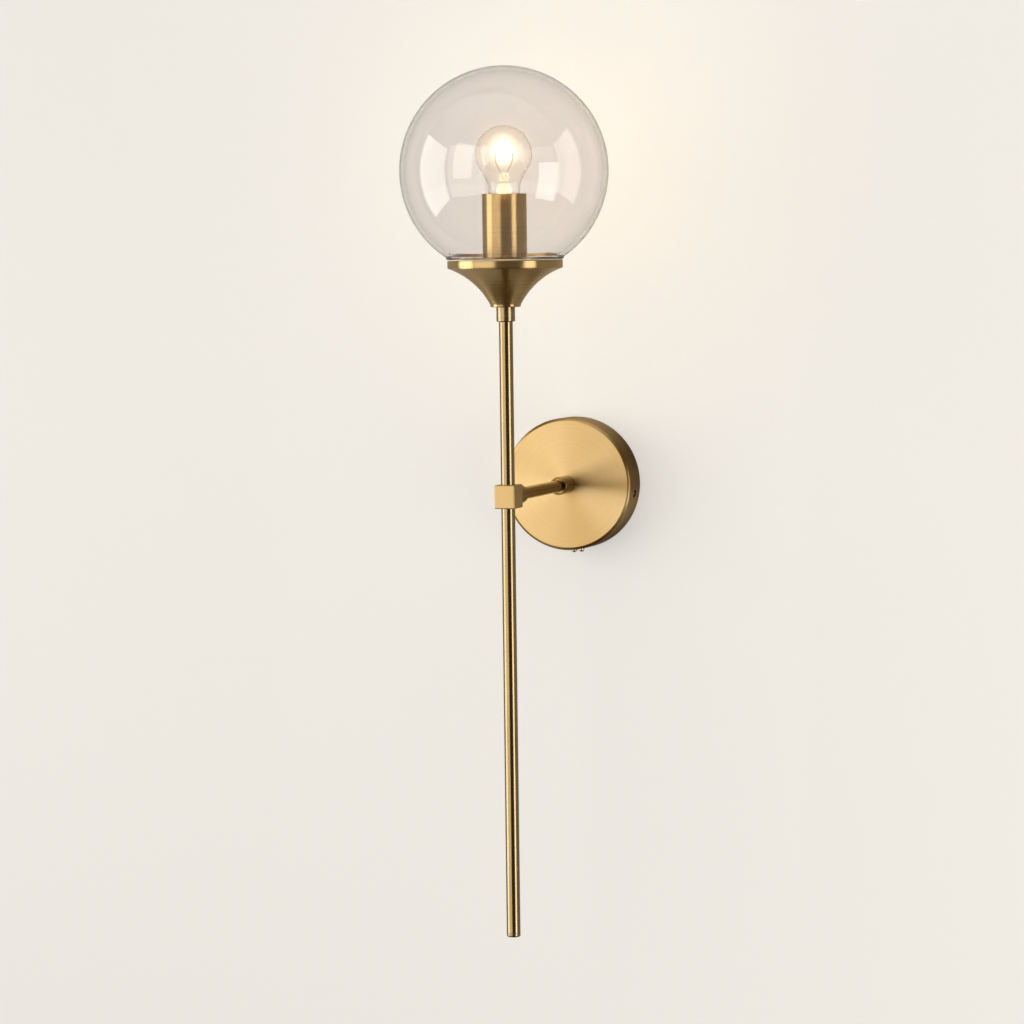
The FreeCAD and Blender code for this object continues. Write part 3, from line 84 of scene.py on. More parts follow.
class Graph:  # one node tree
    def __init__(self, tree):
        self.tree = tree

    def node(self, kind, settings=None, inputs=None, output=0):
        made = self.tree.nodes.new(kind)
        for name, value in (settings or {}).items():
            setattr(made, name, value)
        for key, value in (inputs or {}).items():
            if isinstance(value, Flow):
                self.tree.links.new(value.socket, made.inputs[key])
            else:
                made.inputs[key].default_value = value
        return Flow(self, made.outputs[output])

    def end(self, kind, result):  # the output node, whose first socket takes the result
        made = self.tree.nodes.new(kind)
        self.tree.links.new(result.socket, made.inputs[0])

    def maths(self, operation, *values):
        return self.node("ShaderNodeMath", {"operation": operation}, dict(enumerate(values)))

    def place(self):  # Object coordinates
        return self.node("ShaderNodeTexCoord", None, None, "Object")

    def path(self, name):  # what a ray has met so far
        return self.node("ShaderNodeLightPath", None, None, name)

    def split(self, vector):
        made = self.node("ShaderNodeSeparateXYZ", None, {0: vector}).socket.node
        return [Flow(self, socket) for socket in made.outputs]

    def join(self, x, y, z):
        return self.node("ShaderNodeCombineXYZ", None, {0: x, 1: y, 2: z})

    def blend(self, factor, first, second):
        return self.node("ShaderNodeMix", {"data_type": "RGBA"}, {
            0: factor, 6: first, 7: second}, 2)

    def mapped(self, value, low, high):  # 0 at low, 1 at high
        return self.node("ShaderNodeMapRange", {"clamp": True}, {
            0: value, 1: low, 2: high, 3: 0.0, 4: 1.0})

    def noise(self, vector, scale, detail=2.0, roughness=0.5):
        return self.node("ShaderNodeTexNoise", None, {
            "Vector": vector, "Scale": scale, "Detail": detail, "Roughness": roughness})

    def bump(self, height, strength, distance):
        return self.node("ShaderNodeBump", None, {
            "Strength": strength, "Distance": distance, "Height": height})


def colour(red, green, blue):  # screen values 0 to 255, as linear colour
    def linear(value):
        value /= 255
        return value / 12.92 if value <= 0.04045 else ((value + 0.055) / 1.055) ** 2.4
    return (linear(red), linear(green), linear(blue), 1)


def startMaterial(name):
    material = bpy.data.materials.new(name)
    material.use_nodes = True
    material.node_tree.nodes.clear()
    return material, Graph(material.node_tree)


def aroundAxis(graph, place, axis):  # direction, distance and height about the lamp's or arm's axis
    x, y, z = graph.split(place)
    if axis == "arm":
        across, up, along = x, z, y
    else:
        across, up, along = x, y + armReach * mm, z
    tiny = 1e-12  # keeps the distance above nought on the axis
    distance = (across * across + up * up + tiny).maths("SQRT")
    return across / distance, up / distance, distance, along


# The canopy's sizes stand here because its finish paints a ring of shade about each side hole.
canopy = {"radius": 50, "depth": 25, "sheet": 1.5, "edge": 2.5, "hole": 5.15, "turn": 8.5,
          "sideDepth": 12.4, "sideHole": 2.5, "footTurn": 4.5, "footDepth": 12, "footPitch": 5.8,
          "footHole": 1.4, "drillPast": 10}

# In every brass, fine lines, broad ones and a slow cloud share the tone.
brassGrain = {"fine": 0.45, "rest": 0.55, "rings": 0.3, "broadScale": 0.22, "cloudScale": 28.0,
              "swirl": 0.5, "ground": 0.03, "spread": (0.3, 0.7), "depth": 0.00002,
              "coatRoughness": 0.08}


def paintedDiscHighlights(tone, way, side, highlightSectors):  # painted highlight and shade: soft light and dark sectors in the tone, as a brushed disc shows them under the lamps
    turn = side.maths("ARCTAN2", way)
    for count, start, depth in highlightSectors:
        tone = tone + (turn * count + start).maths("COSINE") * depth
    return tone


def dishPaintedLight(graph, base, spot, look):  # the canopy's painted reflection and shade: the arm's dark reflection, darker rim sectors and dark rings about the side holes
    way, side, distance, along = spot
    armReflection, wall = look["armReflection"], look["wall"]
    turn = side.maths("ARCTAN2", way)
    near = (turn - armReflection["turn"]).maths("COSINE").maths("MAXIMUM", 0.0)
    armReflectionShade = near ** armReflection["narrow"] * armReflection["depth"]  # painted reflection: the arm's dark reflection, a dark sector beside the arm
    base = graph.blend(armReflectionShade, base, armReflection["tone"])
    # painted shade: darker sectors round the rim side of the dish
    rimShade = ((turn - wall["turn"]) * wall["count"]).maths("COSINE") * wall["swing"] + wall["depth"]
    beyond = distance.maths("GREATER_THAN", wall["from"])  # the dish's drawn side wall, where the rim's painted shade lies
    base = graph.blend(beyond * rimShade, base, wall["tone"])
    lean = radians(canopy["turn"])
    off = way * distance * sin(lean) + side * distance * cos(lean)
    out = along + canopy["sideDepth"] * mm
    reach = (canopy["sideHole"] + look["ring"]) * mm
    mouth = (off * off + out * out).maths("LESS_THAN", reach ** 2)  # painted shade: a dark ring about each side hole
    return graph.blend(mouth * beyond, base, look["holeShadeTone"])


def brass(name, look):
    material, graph = startMaterial(name)
    place = graph.place()
    axis, grain = look.get("axis", "lamp"), look["grain"]
    spot = aroundAxis(graph, place, axis)
    way, side, distance, along = spot
    if look["lines"] == "turned":  # fine rings left by the lathe
        lines = graph.join(way * brassGrain["swirl"], distance * grain, along * grain)
    elif look["lines"] == "drawn":  # long lines left by the die
        lines = graph.join(way * look["round"], side * look["round"], along * grain)
    else:  # straight belt-ground lines
        x, y, z = graph.split(place)
        lines = graph.join(x * grain, y * grain, z * grain * brassGrain["ground"])
    fine = graph.noise(lines, 1.0, 3.0, 0.65)
    broad = graph.noise(lines, brassGrain["broadScale"])
    cloud = graph.noise(place, brassGrain["cloudScale"], 3.0, 0.55)
    rings = look.get("rings", brassGrain["rings"])
    tone = fine * brassGrain["fine"] + broad * rings + cloud * (brassGrain["rest"] - rings)
    if "highlightSectors" in look:
        tone = paintedDiscHighlights(tone, way, side, look["highlightSectors"])
    low, high = look.get("spread", brassGrain["spread"])
    base = graph.blend(graph.mapped(tone, low, high), look["dark"], look["light"])
    if "armReflection" in look:
        base = dishPaintedLight(graph, base, spot, look)
    around = graph.node("ShaderNodeTangent", {
        "direction_type": "RADIAL", "axis": "Y" if axis == "arm" else "Z"})
    roughSpread = look["roughSpread"]
    graph.end("ShaderNodeOutputMaterial", graph.node("ShaderNodeBsdfPrincipled", None, {
        "Base Color": base, "Metallic": 1.0,
        "Roughness": fine * roughSpread + (look["roughness"] - roughSpread / 2),
        "Tangent": around, "Anisotropic": look.get("anisotropy", 0.0),
        "Anisotropic Rotation": 0.25, "Coat Weight": look.get("coat", 0.0),
        "Coat Roughness": brassGrain["coatRoughness"],
        "Normal": graph.bump(fine, look["relief"], brassGrain["depth"])}))
    return material


# Zinc, nickel and spring steel share a fine spangle and a slow cloud.
plating = {"spangle": 900.0, "spangleShare": 0.6, "cloud": 60.0, "cloudShare": 0.5,
           "roughSpread": 0.16, "relief": 0.08, "depth": 0.00005}


def plainMetal(name, dark, light, roughness):
    material, graph = startMaterial(name)
    place = graph.place()
    spangle = graph.node("ShaderNodeTexVoronoi", {"feature": "F1"}, {
        "Vector": place, "Scale": plating["spangle"]})
    cloud = graph.noise(place, plating["cloud"], 3.0, 0.6)
    tone = spangle * plating["spangleShare"] + cloud * plating["cloudShare"]
    spread = plating["roughSpread"]
    graph.end("ShaderNodeOutputMaterial", graph.node("ShaderNodeBsdfPrincipled", None, {
        "Base Color": graph.blend(tone, dark, light), "Metallic": 1.0,
        "Roughness": cloud * spread + (roughness - spread / 2),
        "Normal": graph.bump(cloud, plating["relief"], plating["depth"])}))
    return material


moulding = {"cloud": 45.0, "roughSpread": 0.12, "depth": 0.00004, "coatRoughness": 0.1}


def moulded(name, dark, light, roughness, scale=700.0, relief=0.1, coat=0.0):
    material, graph = startMaterial(name)
    place = graph.place()
    pits = graph.noise(place, scale, 2.0, 0.6)
    cloud = graph.noise(place, moulding["cloud"])
    spread = moulding["roughSpread"]
    graph.end("ShaderNodeOutputMaterial", graph.node("ShaderNodeBsdfPrincipled", None, {
        "Base Color": graph.blend(cloud, dark, light),
        "Roughness": pits * spread + (roughness - spread / 2),
        "Coat Weight": coat, "Coat Roughness": moulding["coatRoughness"],
        "Normal": graph.bump(pits, relief, moulding["depth"])}))
    return material


glassWaves = {"smearScale": 55.0, "depth": 0.0004}


def clearGlass(name, look):
    material, graph = startMaterial(name)
    place = graph.place()
    ripple = graph.noise(place, look["ripple"], 1.0, 0.4)
    smear = graph.noise(place, glassWaves["smearScale"], 3.0, 0.6)
    body = graph.node("ShaderNodeBsdfPrincipled", None, {
        "Base Color": graph.blend(smear, look["dark"], look["light"]),
        "Roughness": smear * look["smear"], "IOR": look["ior"], "Transmission Weight": 1.0,
        "Normal": graph.bump(ripple, look["relief"], glassWaves["depth"])})
    if "milk" in look:  # a thin white bloom on the inside, which the light fills
        haze = graph.node("ShaderNodeBsdfTranslucent", None, {"Color": look["milkColour"]})
        body = graph.node("ShaderNodeMixShader", None, {0: look["milk"], 1: body, 2: haze})
    clear = graph.node("ShaderNodeBsdfTransparent", None, {"Color": look["shadow"]})
    graph.end("ShaderNodeOutputMaterial", graph.node("ShaderNodeMixShader", None, {
        0: graph.path("Is Shadow Ray"), 1: body, 2: clear}))
    return material


def glowing(name, tint, hot, strength):
    material, graph = startMaterial(name)
    flicker = graph.noise(graph.place(), 400.0, 1.0)
    graph.end("ShaderNodeOutputMaterial", graph.node("ShaderNodeBsdfPrincipled", None, {
        "Base Color": (0.1, 0.08, 0.06, 1), "Roughness": 0.6,
        "Emission Color": graph.blend(flicker, tint, hot), "Emission Strength": strength}))
    return material


brassTones = {"light": colour(212, 183, 129), "dark": colour(184, 155, 103),
              "rodLight": colour(178, 159, 122), "rodDark": colour(150, 130, 92)}

finishes = {
    "polished_brass": brass("rodBrass", {
        "lines": "drawn", "round": 14.0, "grain": 6.0,
        "dark": brassTones["rodDark"], "light": brassTones["rodLight"],
        "roughness": 0.16, "roughSpread": 0.06, "relief": 0.008}),
    "satin_brass": brass("satinBrass", {
        "lines": "turned", "grain": 2600.0,
        "dark": brassTones["dark"], "light": brassTones["light"],
        "roughness": 0.3, "roughSpread": 0.1, "relief": 0.08, "anisotropy": 0.85}),
    "brushed_brass": brass("canopyBrass", {
        "axis": "arm", "lines": "turned", "grain": 1500.0, "rings": 0.12, "spread": (0.15, 0.85),
        "dark": colour(206, 173, 117), "light": colour(231, 200, 145),
        "roughness": 0.36, "roughSpread": 0.14, "relief": 0.14, "anisotropy": 0.6,
        # painted highlight and shade: light and dark sectors of the brushed face
        "highlightSectors": ((2, 0.0, 0.13), (3, 1.2, 0.14), (5, 2.6, 0.1)),  # count, start, depth
        # painted reflection: the arm's dark reflection as a dark wedge right of the collar
        "armReflection": {"turn": -0.01, "narrow": 90.0, "depth": 0.52, "tone": colour(134, 100, 48)},
        # painted shade: darker sectors round the rim side
        "wall": {"from": 0.0478, "count": 4, "turn": 0.44, "swing": 0.44, "depth": 0.5,
                 "tone": colour(124, 90, 26)},
        # painted shade about each side hole: its width and tone
        "ring": 0.7, "holeShadeTone": colour(34, 24, 10)}),
    "raw_brass": brass("threadBrass", {
        "lines": "turned", "grain": 1800.0,
        "dark": colour(150, 118, 60), "light": colour(205, 170, 105),
        "roughness": 0.38, "roughSpread": 0.12, "relief": 0.2}),
    "zinc_steel": plainMetal("zincPlate", colour(150, 152, 156), colour(196, 198, 200), 0.38),
    "spring_steel": plainMetal("springStrip", colour(110, 112, 118), colour(176, 178, 184), 0.26),
    "nickel_shell": plainMetal("nickelPlate", colour(168, 164, 156), colour(222, 218, 208), 0.2),
    "lamp_wire": plainMetal("leadInWire", colour(120, 112, 104), colour(178, 168, 156), 0.34),
    "white_ceramic": moulded("glazedCeramic", colour(222, 216, 202), colour(238, 233, 220), 0.24,
                             260.0, 0.08, 0.4),
    "white_plastic": moulded("mouldedWhite", colour(222, 218, 208), colour(236, 233, 225), 0.42),
    "black_glass": moulded("fusedGlass", colour(10, 10, 14), colour(26, 26, 32), 0.15, 300.0, 0.05),
    "clear_gasket": moulded("siliconeRing", colour(214, 208, 194), colour(236, 232, 220), 0.4),
    "brown_sheath": moulded("brownSheath", colour(74, 42, 24), colour(98, 60, 36), 0.45),
    "blue_sheath": moulded("blueSheath", colour(34, 72, 132), colour(52, 98, 164), 0.45),
    "green_sheath": moulded("greenSheath", colour(88, 128, 40), colour(120, 160, 56), 0.45),
    "clear_glass": clearGlass("globeGlass", {
        "dark": (0.895, 0.875, 0.875, 1), "light": (0.92, 0.9, 0.897, 1), "smear": 0.012,
        "ior": 1.47, "relief": 0.03, "ripple": 16.0, "shadow": (0.93, 0.93, 0.92, 1)}),
    "bulb_glass": clearGlass("bulbGlass", {
        "dark": (0.98, 0.98, 0.975, 1), "light": (1, 1, 1, 1), "smear": 0.01, "ior": 1.45,
        "relief": 0.03, "ripple": 40.0, "shadow": (0.97, 0.96, 0.94, 1), "milk": 0.005,
        "milkColour": (1.0, 0.9, 0.7, 1)}),
    "lit_filament": glowing("litFilament", (1.0, 0.72, 0.36, 1), (1, 0.93, 0.8, 1), 60.0),
}
turnedRod = brass("collarBrass", {
    "lines": "turned", "grain": 3000.0,
    "dark": brassTones["rodDark"], "light": brassTones["rodLight"],
    "roughness": 0.24, "roughSpread": 0.12, "relief": 0.1, "coat": 0.2})
turnedArm = brass("armBrass", {
    "axis": "arm", "lines": "turned", "grain": 900.0, "spread": (0.2, 0.8),
    "dark": colour(148, 121, 68), "light": colour(177, 150, 93),
    "roughness": 0.17, "roughSpread": 0.06, "relief": 0.02})
screwBrass = brass("screwBrass", {
    "lines": "turned", "grain": 1200.0,
    "dark": colour(226, 214, 190), "light": colour(250, 244, 230),
    "roughness": 0.12, "roughSpread": 0.04, "relief": 0.03})
groundBlock = brass("blockBrass", {
    "lines": "ground", "grain": 5000.0,
    "dark": colour(194, 162, 108), "light": colour(216, 184, 130),
    "roughness": 0.36, "roughSpread": 0.14, "relief": 0.12})
bulbStemGlass = clearGlass("stemGlass", {
    "dark": (0.97, 0.97, 0.96, 1), "light": (1, 1, 1, 1), "smear": 0.02, "ior": 1.5,
    "relief": 0.02, "ripple": 90.0, "shadow": (0.95, 0.95, 0.93, 1)})
print("finishes made")


def soften(corners, steps=4):  # corners are (radius, height) or (radius, height, rounding)
    made = []
    count = len(corners)
    for index, corner in enumerate(corners):
        here = Vector(corner[:2])
        rounding = corner[2] if len(corner) > 2 else 0
        if not rounding:
            made.append(here)
            continue
        before = Vector(corners[index - 1][:2]) - here
        after = Vector(corners[(index + 1) % count][:2]) - here
        half = before.angle(after) / 2
        back = min(rounding / tan(half), before.length * 0.49, after.length * 0.49)
        radius = back * tan(half)
        middle = (before.normalized() + after.normalized()).normalized()
        centre = here + middle * (radius / sin(half))
        first = here + before.normalized() * back - centre
        last = here + after.normalized() * back - centre
        made += swept(centre, first, last, steps)
    return made


def swept(centre, first, last, steps):  # the short arc about a centre, from first to last
    sweep = first.angle_signed(last)
    return [centre + Matrix.Rotation(-sweep * step / steps, 2) @ first
            for step in range(steps + 1)]


def arc(centre, radius, first, last, steps):  # angles in degrees, from the radius direction
    turns = [radians(first + (last - first) * step / steps) for step in range(steps + 1)]
    return [Vector((centre[0] + radius * cos(turn), centre[1] + radius * sin(turn)))
            for turn in turns]


def meshOf(shape, name):
    mesh = bpy.data.meshes.new(name)
    shape.to_mesh(mesh)
    shape.free()
    return mesh


def placed(mesh, place):
    mesh.transform(place)
    return mesh


def lathe(outline, steps=96, place=onLamp):  # turns a closed outline into a closed mesh
    shape = bmesh.new()
    rings = []
    for point in outline:
        radius, height = max(point[0], 0) * mm, point[1] * mm
        if radius < 1e-7:  # a point on the axis
            rings.append([shape.verts.new((0, 0, height))])
            continue
        rings.append([shape.verts.new((radius * cos(2 * pi * step / steps),
                                       radius * sin(2 * pi * step / steps), height))
                      for step in range(steps)])
    for ring, following in zip(rings, rings[1:] + rings[:1]):
        for step in range(steps):
            corners = [ring[step % len(ring)], ring[(step + 1) % len(ring)],
                       following[(step + 1) % len(following)], following[step % len(following)]]
            corners = list(dict.fromkeys(corners))
            if len(corners) > 2:
                shape.faces.new(corners)
    bmesh.ops.recalc_face_normals(shape, faces=shape.faces)
    return placed(meshOf(shape, "turned"), place)


def rod(radius, low, high, place, steps):
    side = soften([(0, low), (radius, low), (radius, high), (0, high)])
    return lathe(side, steps, place)


def extruded(points, width):  # a flat outline in the XZ plane, given thickness along Y
    shape = bmesh.new()
    sides = [[shape.verts.new((x * mm, way * width / 2 * mm, z * mm)) for x, z in points]
             for way in (-1, 1)]
    shape.faces.new(sides[0])
    shape.faces.new(list(reversed(sides[1])))
    count = len(points)
    for index in range(count):
        following = (index + 1) % count
        shape.faces.new([sides[0][index], sides[1][index], sides[1][following],
                         sides[0][following]])
    bmesh.ops.recalc_face_normals(shape, faces=shape.faces)
    return meshOf(shape, "strip")


def boxMesh(low, high):
    shape = bmesh.new()
    bmesh.ops.create_cube(shape, size=1)
    size = Vector(high) - Vector(low)
    centre = (Vector(high) + Vector(low)) / 2
    for vert in shape.verts:
        vert.co = Vector([vert.co[axis] * size[axis] + centre[axis] for axis in range(3)]) * mm
    return meshOf(shape, "box")


def joined(meshes):  # several meshes as one
    shape = bmesh.new()
    for mesh in meshes:
        shape.from_mesh(mesh)
    return meshOf(shape, "joined")


def meshFrom(worker):  # a plain mesh of what its modifiers make
    bpy.context.view_layer.update()
    ready = worker.evaluated_get(bpy.context.evaluated_depsgraph_get())
    return bpy.data.meshes.new_from_object(ready)


def applied(mesh, kind, settings):  # one modifier, applied
    worker = bpy.data.objects.new("worker", mesh)
    scene.collection.objects.link(worker)
    modifier = worker.modifiers.new("work", kind)
    for name, value in settings.items():
        setattr(modifier, name, value)
    made = meshFrom(worker)
    bpy.data.objects.remove(worker)
    return made


def cutBy(mesh, cutters):  # takes the cutters' shapes out of the mesh
    tool = bpy.data.objects.new("cutter", joined(cutters))
    scene.collection.objects.link(tool)
    made = applied(mesh, "BOOLEAN", {"operation": "DIFFERENCE", "solver": "EXACT", "object": tool})
    bpy.data.objects.remove(tool)
    return made


def addPiece(name, mesh, body, nodes, slot, finish=None, sharp=32):
    for polygon in mesh.polygons:
        polygon.use_smooth = True
    mesh.set_sharp_from_angle(angle=radians(sharp))
    mesh = applied(mesh, "WEIGHTED_NORMAL", {"keep_sharp": True, "weight": 80})
    mesh.name = name
    piece = bpy.data.objects.new(name, mesh)
    scene.collection.objects.link(piece)
    mesh.materials.clear()
    mesh.materials.append(finish or finishes[slot])
    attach(piece, body)
    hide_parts(*nodes)


def startTree(name, inputs):  # a geometry tree with named inputs
    tree = bpy.data.node_groups.new(name, "GeometryNodeTree")
    face = tree.interface
    face.new_socket("Geometry", in_out="OUTPUT", socket_type="NodeSocketGeometry")
    face.new_socket("Geometry", in_out="INPUT", socket_type="NodeSocketGeometry")
    for label, kind in inputs:
        face.new_socket(label, in_out="INPUT", socket_type="NodeSocket" + kind)
    graph = Graph(tree)
    source = tree.nodes.new("NodeGroupInput")
    return graph, {socket.name: Flow(graph, socket) for socket in source.outputs if socket.name}


def endTree(graph, geometry, finish):
    real = graph.node("GeometryNodeRealizeInstances", None, {0: geometry})
    graph.end("NodeGroupOutput", graph.node("GeometryNodeSetMaterial", None, {
        "Geometry": real, "Material": finish}))
    return graph.tree


def makeRepeatTree():  # copies in a row, each turned a little further about Z
    graph, given = startTree("repeatPiece", [
        ("Count", "Int"), ("Step", "Vector"), ("Turn", "Float"), ("Finish", "Material")])
    spots = graph.node("GeometryNodeMeshLine", {"mode": "OFFSET"}, {
        "Count": given["Count"], "Offset": given["Step"]})
    number = graph.node("GeometryNodeInputIndex")
    copies = graph.node("GeometryNodeInstanceOnPoints", None, {
        "Points": spots, "Instance": given["Geometry"],
        "Rotation": graph.join(0.0, 0.0, number * given["Turn"])})
    return endTree(graph, copies, given["Finish"])


def makeCoilTree():  # a wire wound in a coil, which may be bent into an arch about Y
    graph, given = startTree("windCoil", [
        ("Radius", "Float"), ("Length", "Float"), ("Turns", "Float"), ("Wire", "Float"),
        ("Arch", "Float"), ("Finish", "Material")])
    coil = graph.node("GeometryNodeCurveSpiral", None, {
        "Resolution": 20, "Rotations": given["Turns"], "Start Radius": given["Radius"],
        "End Radius": given["Radius"], "Height": given["Length"]})
    place = graph.node("GeometryNodeInputPosition")
    x, y, z = graph.split(place)
    bend = z / given["Length"] * pi
    reach = given["Length"] / pi + x
    bent = graph.join(reach * bend.maths("COSINE") * -1, y, reach * bend.maths("SINE"))
    spot = graph.node("ShaderNodeMix", {"data_type": "VECTOR"}, {
        0: given["Arch"], 4: place, 5: bent}, 1)
    moved = graph.node("GeometryNodeSetPosition", None, {"Geometry": coil, "Position": spot})
    ring = graph.node("GeometryNodeCurvePrimitiveCircle", {"mode": "RADIUS"}, {
        "Resolution": 8, "Radius": given["Wire"]})
    wire = graph.node("GeometryNodeCurveToMesh", None, {
        "Curve": moved, "Profile Curve": ring, "Fill Caps": True})
    return endTree(graph, wire, given["Finish"])


repeatTree = makeRepeatTree()
coilTree = makeCoilTree()


def grown(tree, mesh, values):  # the tree's result on this mesh, as a plain mesh
    worker = bpy.data.objects.new("worker", mesh)
    scene.collection.objects.link(worker)
    modifier = worker.modifiers.new("grow", "NODES")
    modifier.node_group = tree
    for item in tree.interface.items_tree:
        if item.in_out == "INPUT" and item.name in values:
            modifier[item.identifier] = values[item.name]
    made = meshFrom(worker)
    worker.modifiers.clear()
    bpy.data.objects.remove(worker)
    return made


def repeated(mesh, count, finish, step=(0, 0, 0), turn=0.0):
    return grown(repeatTree, mesh, {"Count": count, "Step": step, "Turn": turn, "Finish": finish})


def coiled(radius, length, turns, wire, arch, finish):  # a straight coil, or an arched one
    return grown(coilTree, bpy.data.meshes.new("start"), {
        "Radius": radius * mm, "Length": length * mm, "Turns": turns, "Wire": wire * mm,
        "Arch": arch, "Finish": finish})


globe = {"radius": 75, "wall": 2.8, "centre": 234.001, "neck": 42.3, "mouth": 170.8,
         "lip": 0.9, "shoulder": 1.5, "clear": 3, "sideSteps": 90, "steps": 160}


def globeSide(shrink):  # from the mouth up to the top of one side of the wall
    radius, neck = globe["radius"] - shrink, globe["neck"] - shrink
    low, clear = globe["mouth"], globe["clear"]  # the shoulder ends at this point of the arc
    start = -degrees(acos(neck / radius))
    join = globe["centre"] - sqrt(radius ** 2 - neck ** 2)
    side = arc((0, globe["centre"]), radius, start, 90, globe["sideSteps"])
    side[-1] = Vector((0, globe["centre"] + radius))
    shoulder = soften([(neck, low), (neck, join, globe["shoulder"]), tuple(side[clear])], 6)
    return [Vector((neck, low))] + shoulder[1:-1] + side[clear:]


def makeGlobe():
    outer, inner = globeSide(0), globeSide(globe["wall"])
    lip = soften([tuple(inner[1]), (inner[0][0], inner[0][1], globe["lip"]),
                  (outer[0][0], outer[0][1], globe["lip"]), tuple(outer[1])], 5)[1:-1]
    outline = lip + outer[1:] + list(reversed(inner[1:]))
    mesh = lathe(outline, globe["steps"])
    addPiece("clearGlobe", mesh, "globe", ["glass_globe"], "clear_glass", sharp=60)


gasket = {"inside": 38.95, "outside": 41.35, "height": 0.8}


def makeGasket():
    inside, outside, top = gasket["inside"], gasket["outside"], seatTop + gasket["height"]
    outline = soften([(inside, seatTop, 0.2), (outside, seatTop, 0.3), (outside, top, 0.3),
                      (inside, top, 0.2)])
    addPiece("glassRing", lathe(outline, 128), "fixture", ["glass_gasket"], "clear_gasket")


clips = {"count": 3, "width": 8, "sheet": 0.5, "face": 37.44, "foot": 8, "rise": 2.4, "tip": 39.2,
         "bendBelow": 1.0, "tipHeight": 0.5, "rivet": 1.7, "rivetHead": 0.8, "browWidth": 0.75,
         "browHeight": 0.55, "shank": 1, "shankLength": 2.2}


def makeClips():
    sheet, face = clips["sheet"], clips["face"]
    top, back = seatTop + clips["rise"], clips["face"] - clips["foot"]
    side = [(back, seatTop), (face, seatTop, 0.6), (face, top - clips["bendBelow"], 0.3),
            (clips["tip"], top - clips["tipHeight"], 0.2), (clips["tip"], top),
            (face - sheet, top, 0.3), (face - sheet, seatTop + sheet, 0.2),
            (back, seatTop + sheet)]
    one = extruded([tuple(point) for point in soften(side)], clips["width"])
    turn = 2 * pi / clips["count"]
    mesh = repeated(one, clips["count"], finishes["spring_steel"], turn=turn)
    addPiece("globeClips", placed(mesh, onLamp), "fixture", ["spring_clips"], "spring_steel")
    low, radius = seatTop + sheet, clips["rivet"]
    head = soften([(0, low - clips["shankLength"]), (clips["shank"], low - clips["shankLength"]),
                   (clips["shank"], low), (radius, low, 0.1),
                   (radius * clips["browWidth"], low + clips["browHeight"], 0.5),
                   (0, low + clips["rivetHead"])])
    middle = Matrix.Translation(((face - clips["foot"] / 2) * mm, 0, 0))
    mesh = repeated(lathe(head, 24, middle), clips["count"], finishes["zinc_steel"], turn=turn)
    addPiece("clipRivets", placed(mesh, onLamp), "fixture", ["clip_rivets"], "zinc_steel")


makeGlobe()
makeGasket()
makeClips()
print("globe made")


cup = {"base": 136.5, "foot": 11, "rim": 41.5, "sheet": 1.4, "band": 5.4, "flare": 55.3,
       "step": 1.0, "edge": 1.6, "ledge": 0.5, "hole": 4.15, "insideFoot": (0.7, 3.28),
       "lip": (0.3, 0.35), "lipTop": 0.6, "collar": 6.75, "collarHole": 4.05, "flareSteps": 40}
rods = {"radius": 5, "bore": 3.5, "seat": 7.5, "top": 126, "foot": -317.7,
        "plugLow": -320.7, "plugTop": -309.7, "plugRadius": 3.45}


def flareLine(start, end, radius, steps):  # an arc from start to end, hollow on the outside
    start, end = Vector(start), Vector(end)
    middle, chord = (start + end) / 2, end - start
    right = Vector((chord.y, -chord.x)).normalized()
    centre = middle + right * sqrt(radius ** 2 - (chord.length / 2) ** 2)
    return swept(centre, start - centre, end - centre, steps)


def makeCup():
    base, foot, rim, sheet = cup["base"], cup["foot"], cup["rim"], cup["sheet"]
    rimLow = seatTop - cup["band"]
    outside = flareLine((foot, base + cup["edge"]), (rim - cup["step"], rimLow - cup["ledge"]),
                        cup["flare"], cup["flareSteps"])
    inset, rise = cup["insideFoot"]
    inside = flareLine((foot - inset, base + rise), (rim - sheet, rimLow + sheet),
                       cup["flare"] + sheet, cup["flareSteps"])
    low = soften([(cup["hole"], base), (foot, base, 0.9), tuple(outside[0])])[:-1]
    inward, drop = cup["lip"]  # the band's lower edge
    band = soften([tuple(outside[-2]), (rim - inward, rimLow - drop, 0.5),
                   (rim, rimLow + cup["lipTop"], 0.6), (rim, seatTop, 0.5),
                   (rim - sheet, seatTop, 0.3), tuple(inside[-1])], 5)[1:-1]
    outline = low + outside[:-1] + band + list(reversed(inside))
    outline.append(Vector((cup["hole"], base + sheet)))
    addPiece("trumpetCup", lathe(outline, 144), "fixture", ["flare_cup"], "satin_brass", sharp=40)
    collar = soften([(cup["collarHole"], rods["top"]), (cup["collar"], rods["top"], 0.7),
                     (cup["collar"], base, 0.25), (cup["collarHole"], base)])
    addPiece("cupCollar", lathe(collar, 72), "fixture", ["cup_collar"], "polished_brass", turnedRod)


def makeRods():
    radius, bore, seat, foot = rods["radius"], rods["bore"], rods["seat"], rods["foot"]
    upper = soften([(bore, seat), (radius, seat, 0.2), (radius, rods["top"], 0.25),
                    (bore, rods["top"])], 3)
    addPiece("upperRod", lathe(upper, 72), "fixture", ["upper_rod"], "polished_brass")
    lower = soften([(bore, foot), (radius, foot, 0.15), (radius, -seat, 0.2), (bore, -seat)], 3)
    addPiece("lowerRod", lathe(lower, 72), "fixture", ["lower_rod"], "polished_brass")
    plug = soften([(0, rods["plugLow"]), (radius, rods["plugLow"], 1.2), (radius, foot, 0.15),
                   (rods["plugRadius"], foot), (rods["plugRadius"], rods["plugTop"], 0.4),
                   (0, rods["plugTop"])], 5)
    addPiece("rodPlug", lathe(plug, 72), "fixture", ["rod_plug"], "polished_brass", turnedRod)


block = {"halfWidth": 7.75, "halfHeight": 8.5, "front": 8.2, "back": 10.2, "round": 0.75,
         "bore": 5.12, "boreSteps": 64, "boreEnd": 20, "rearDepth": 6}


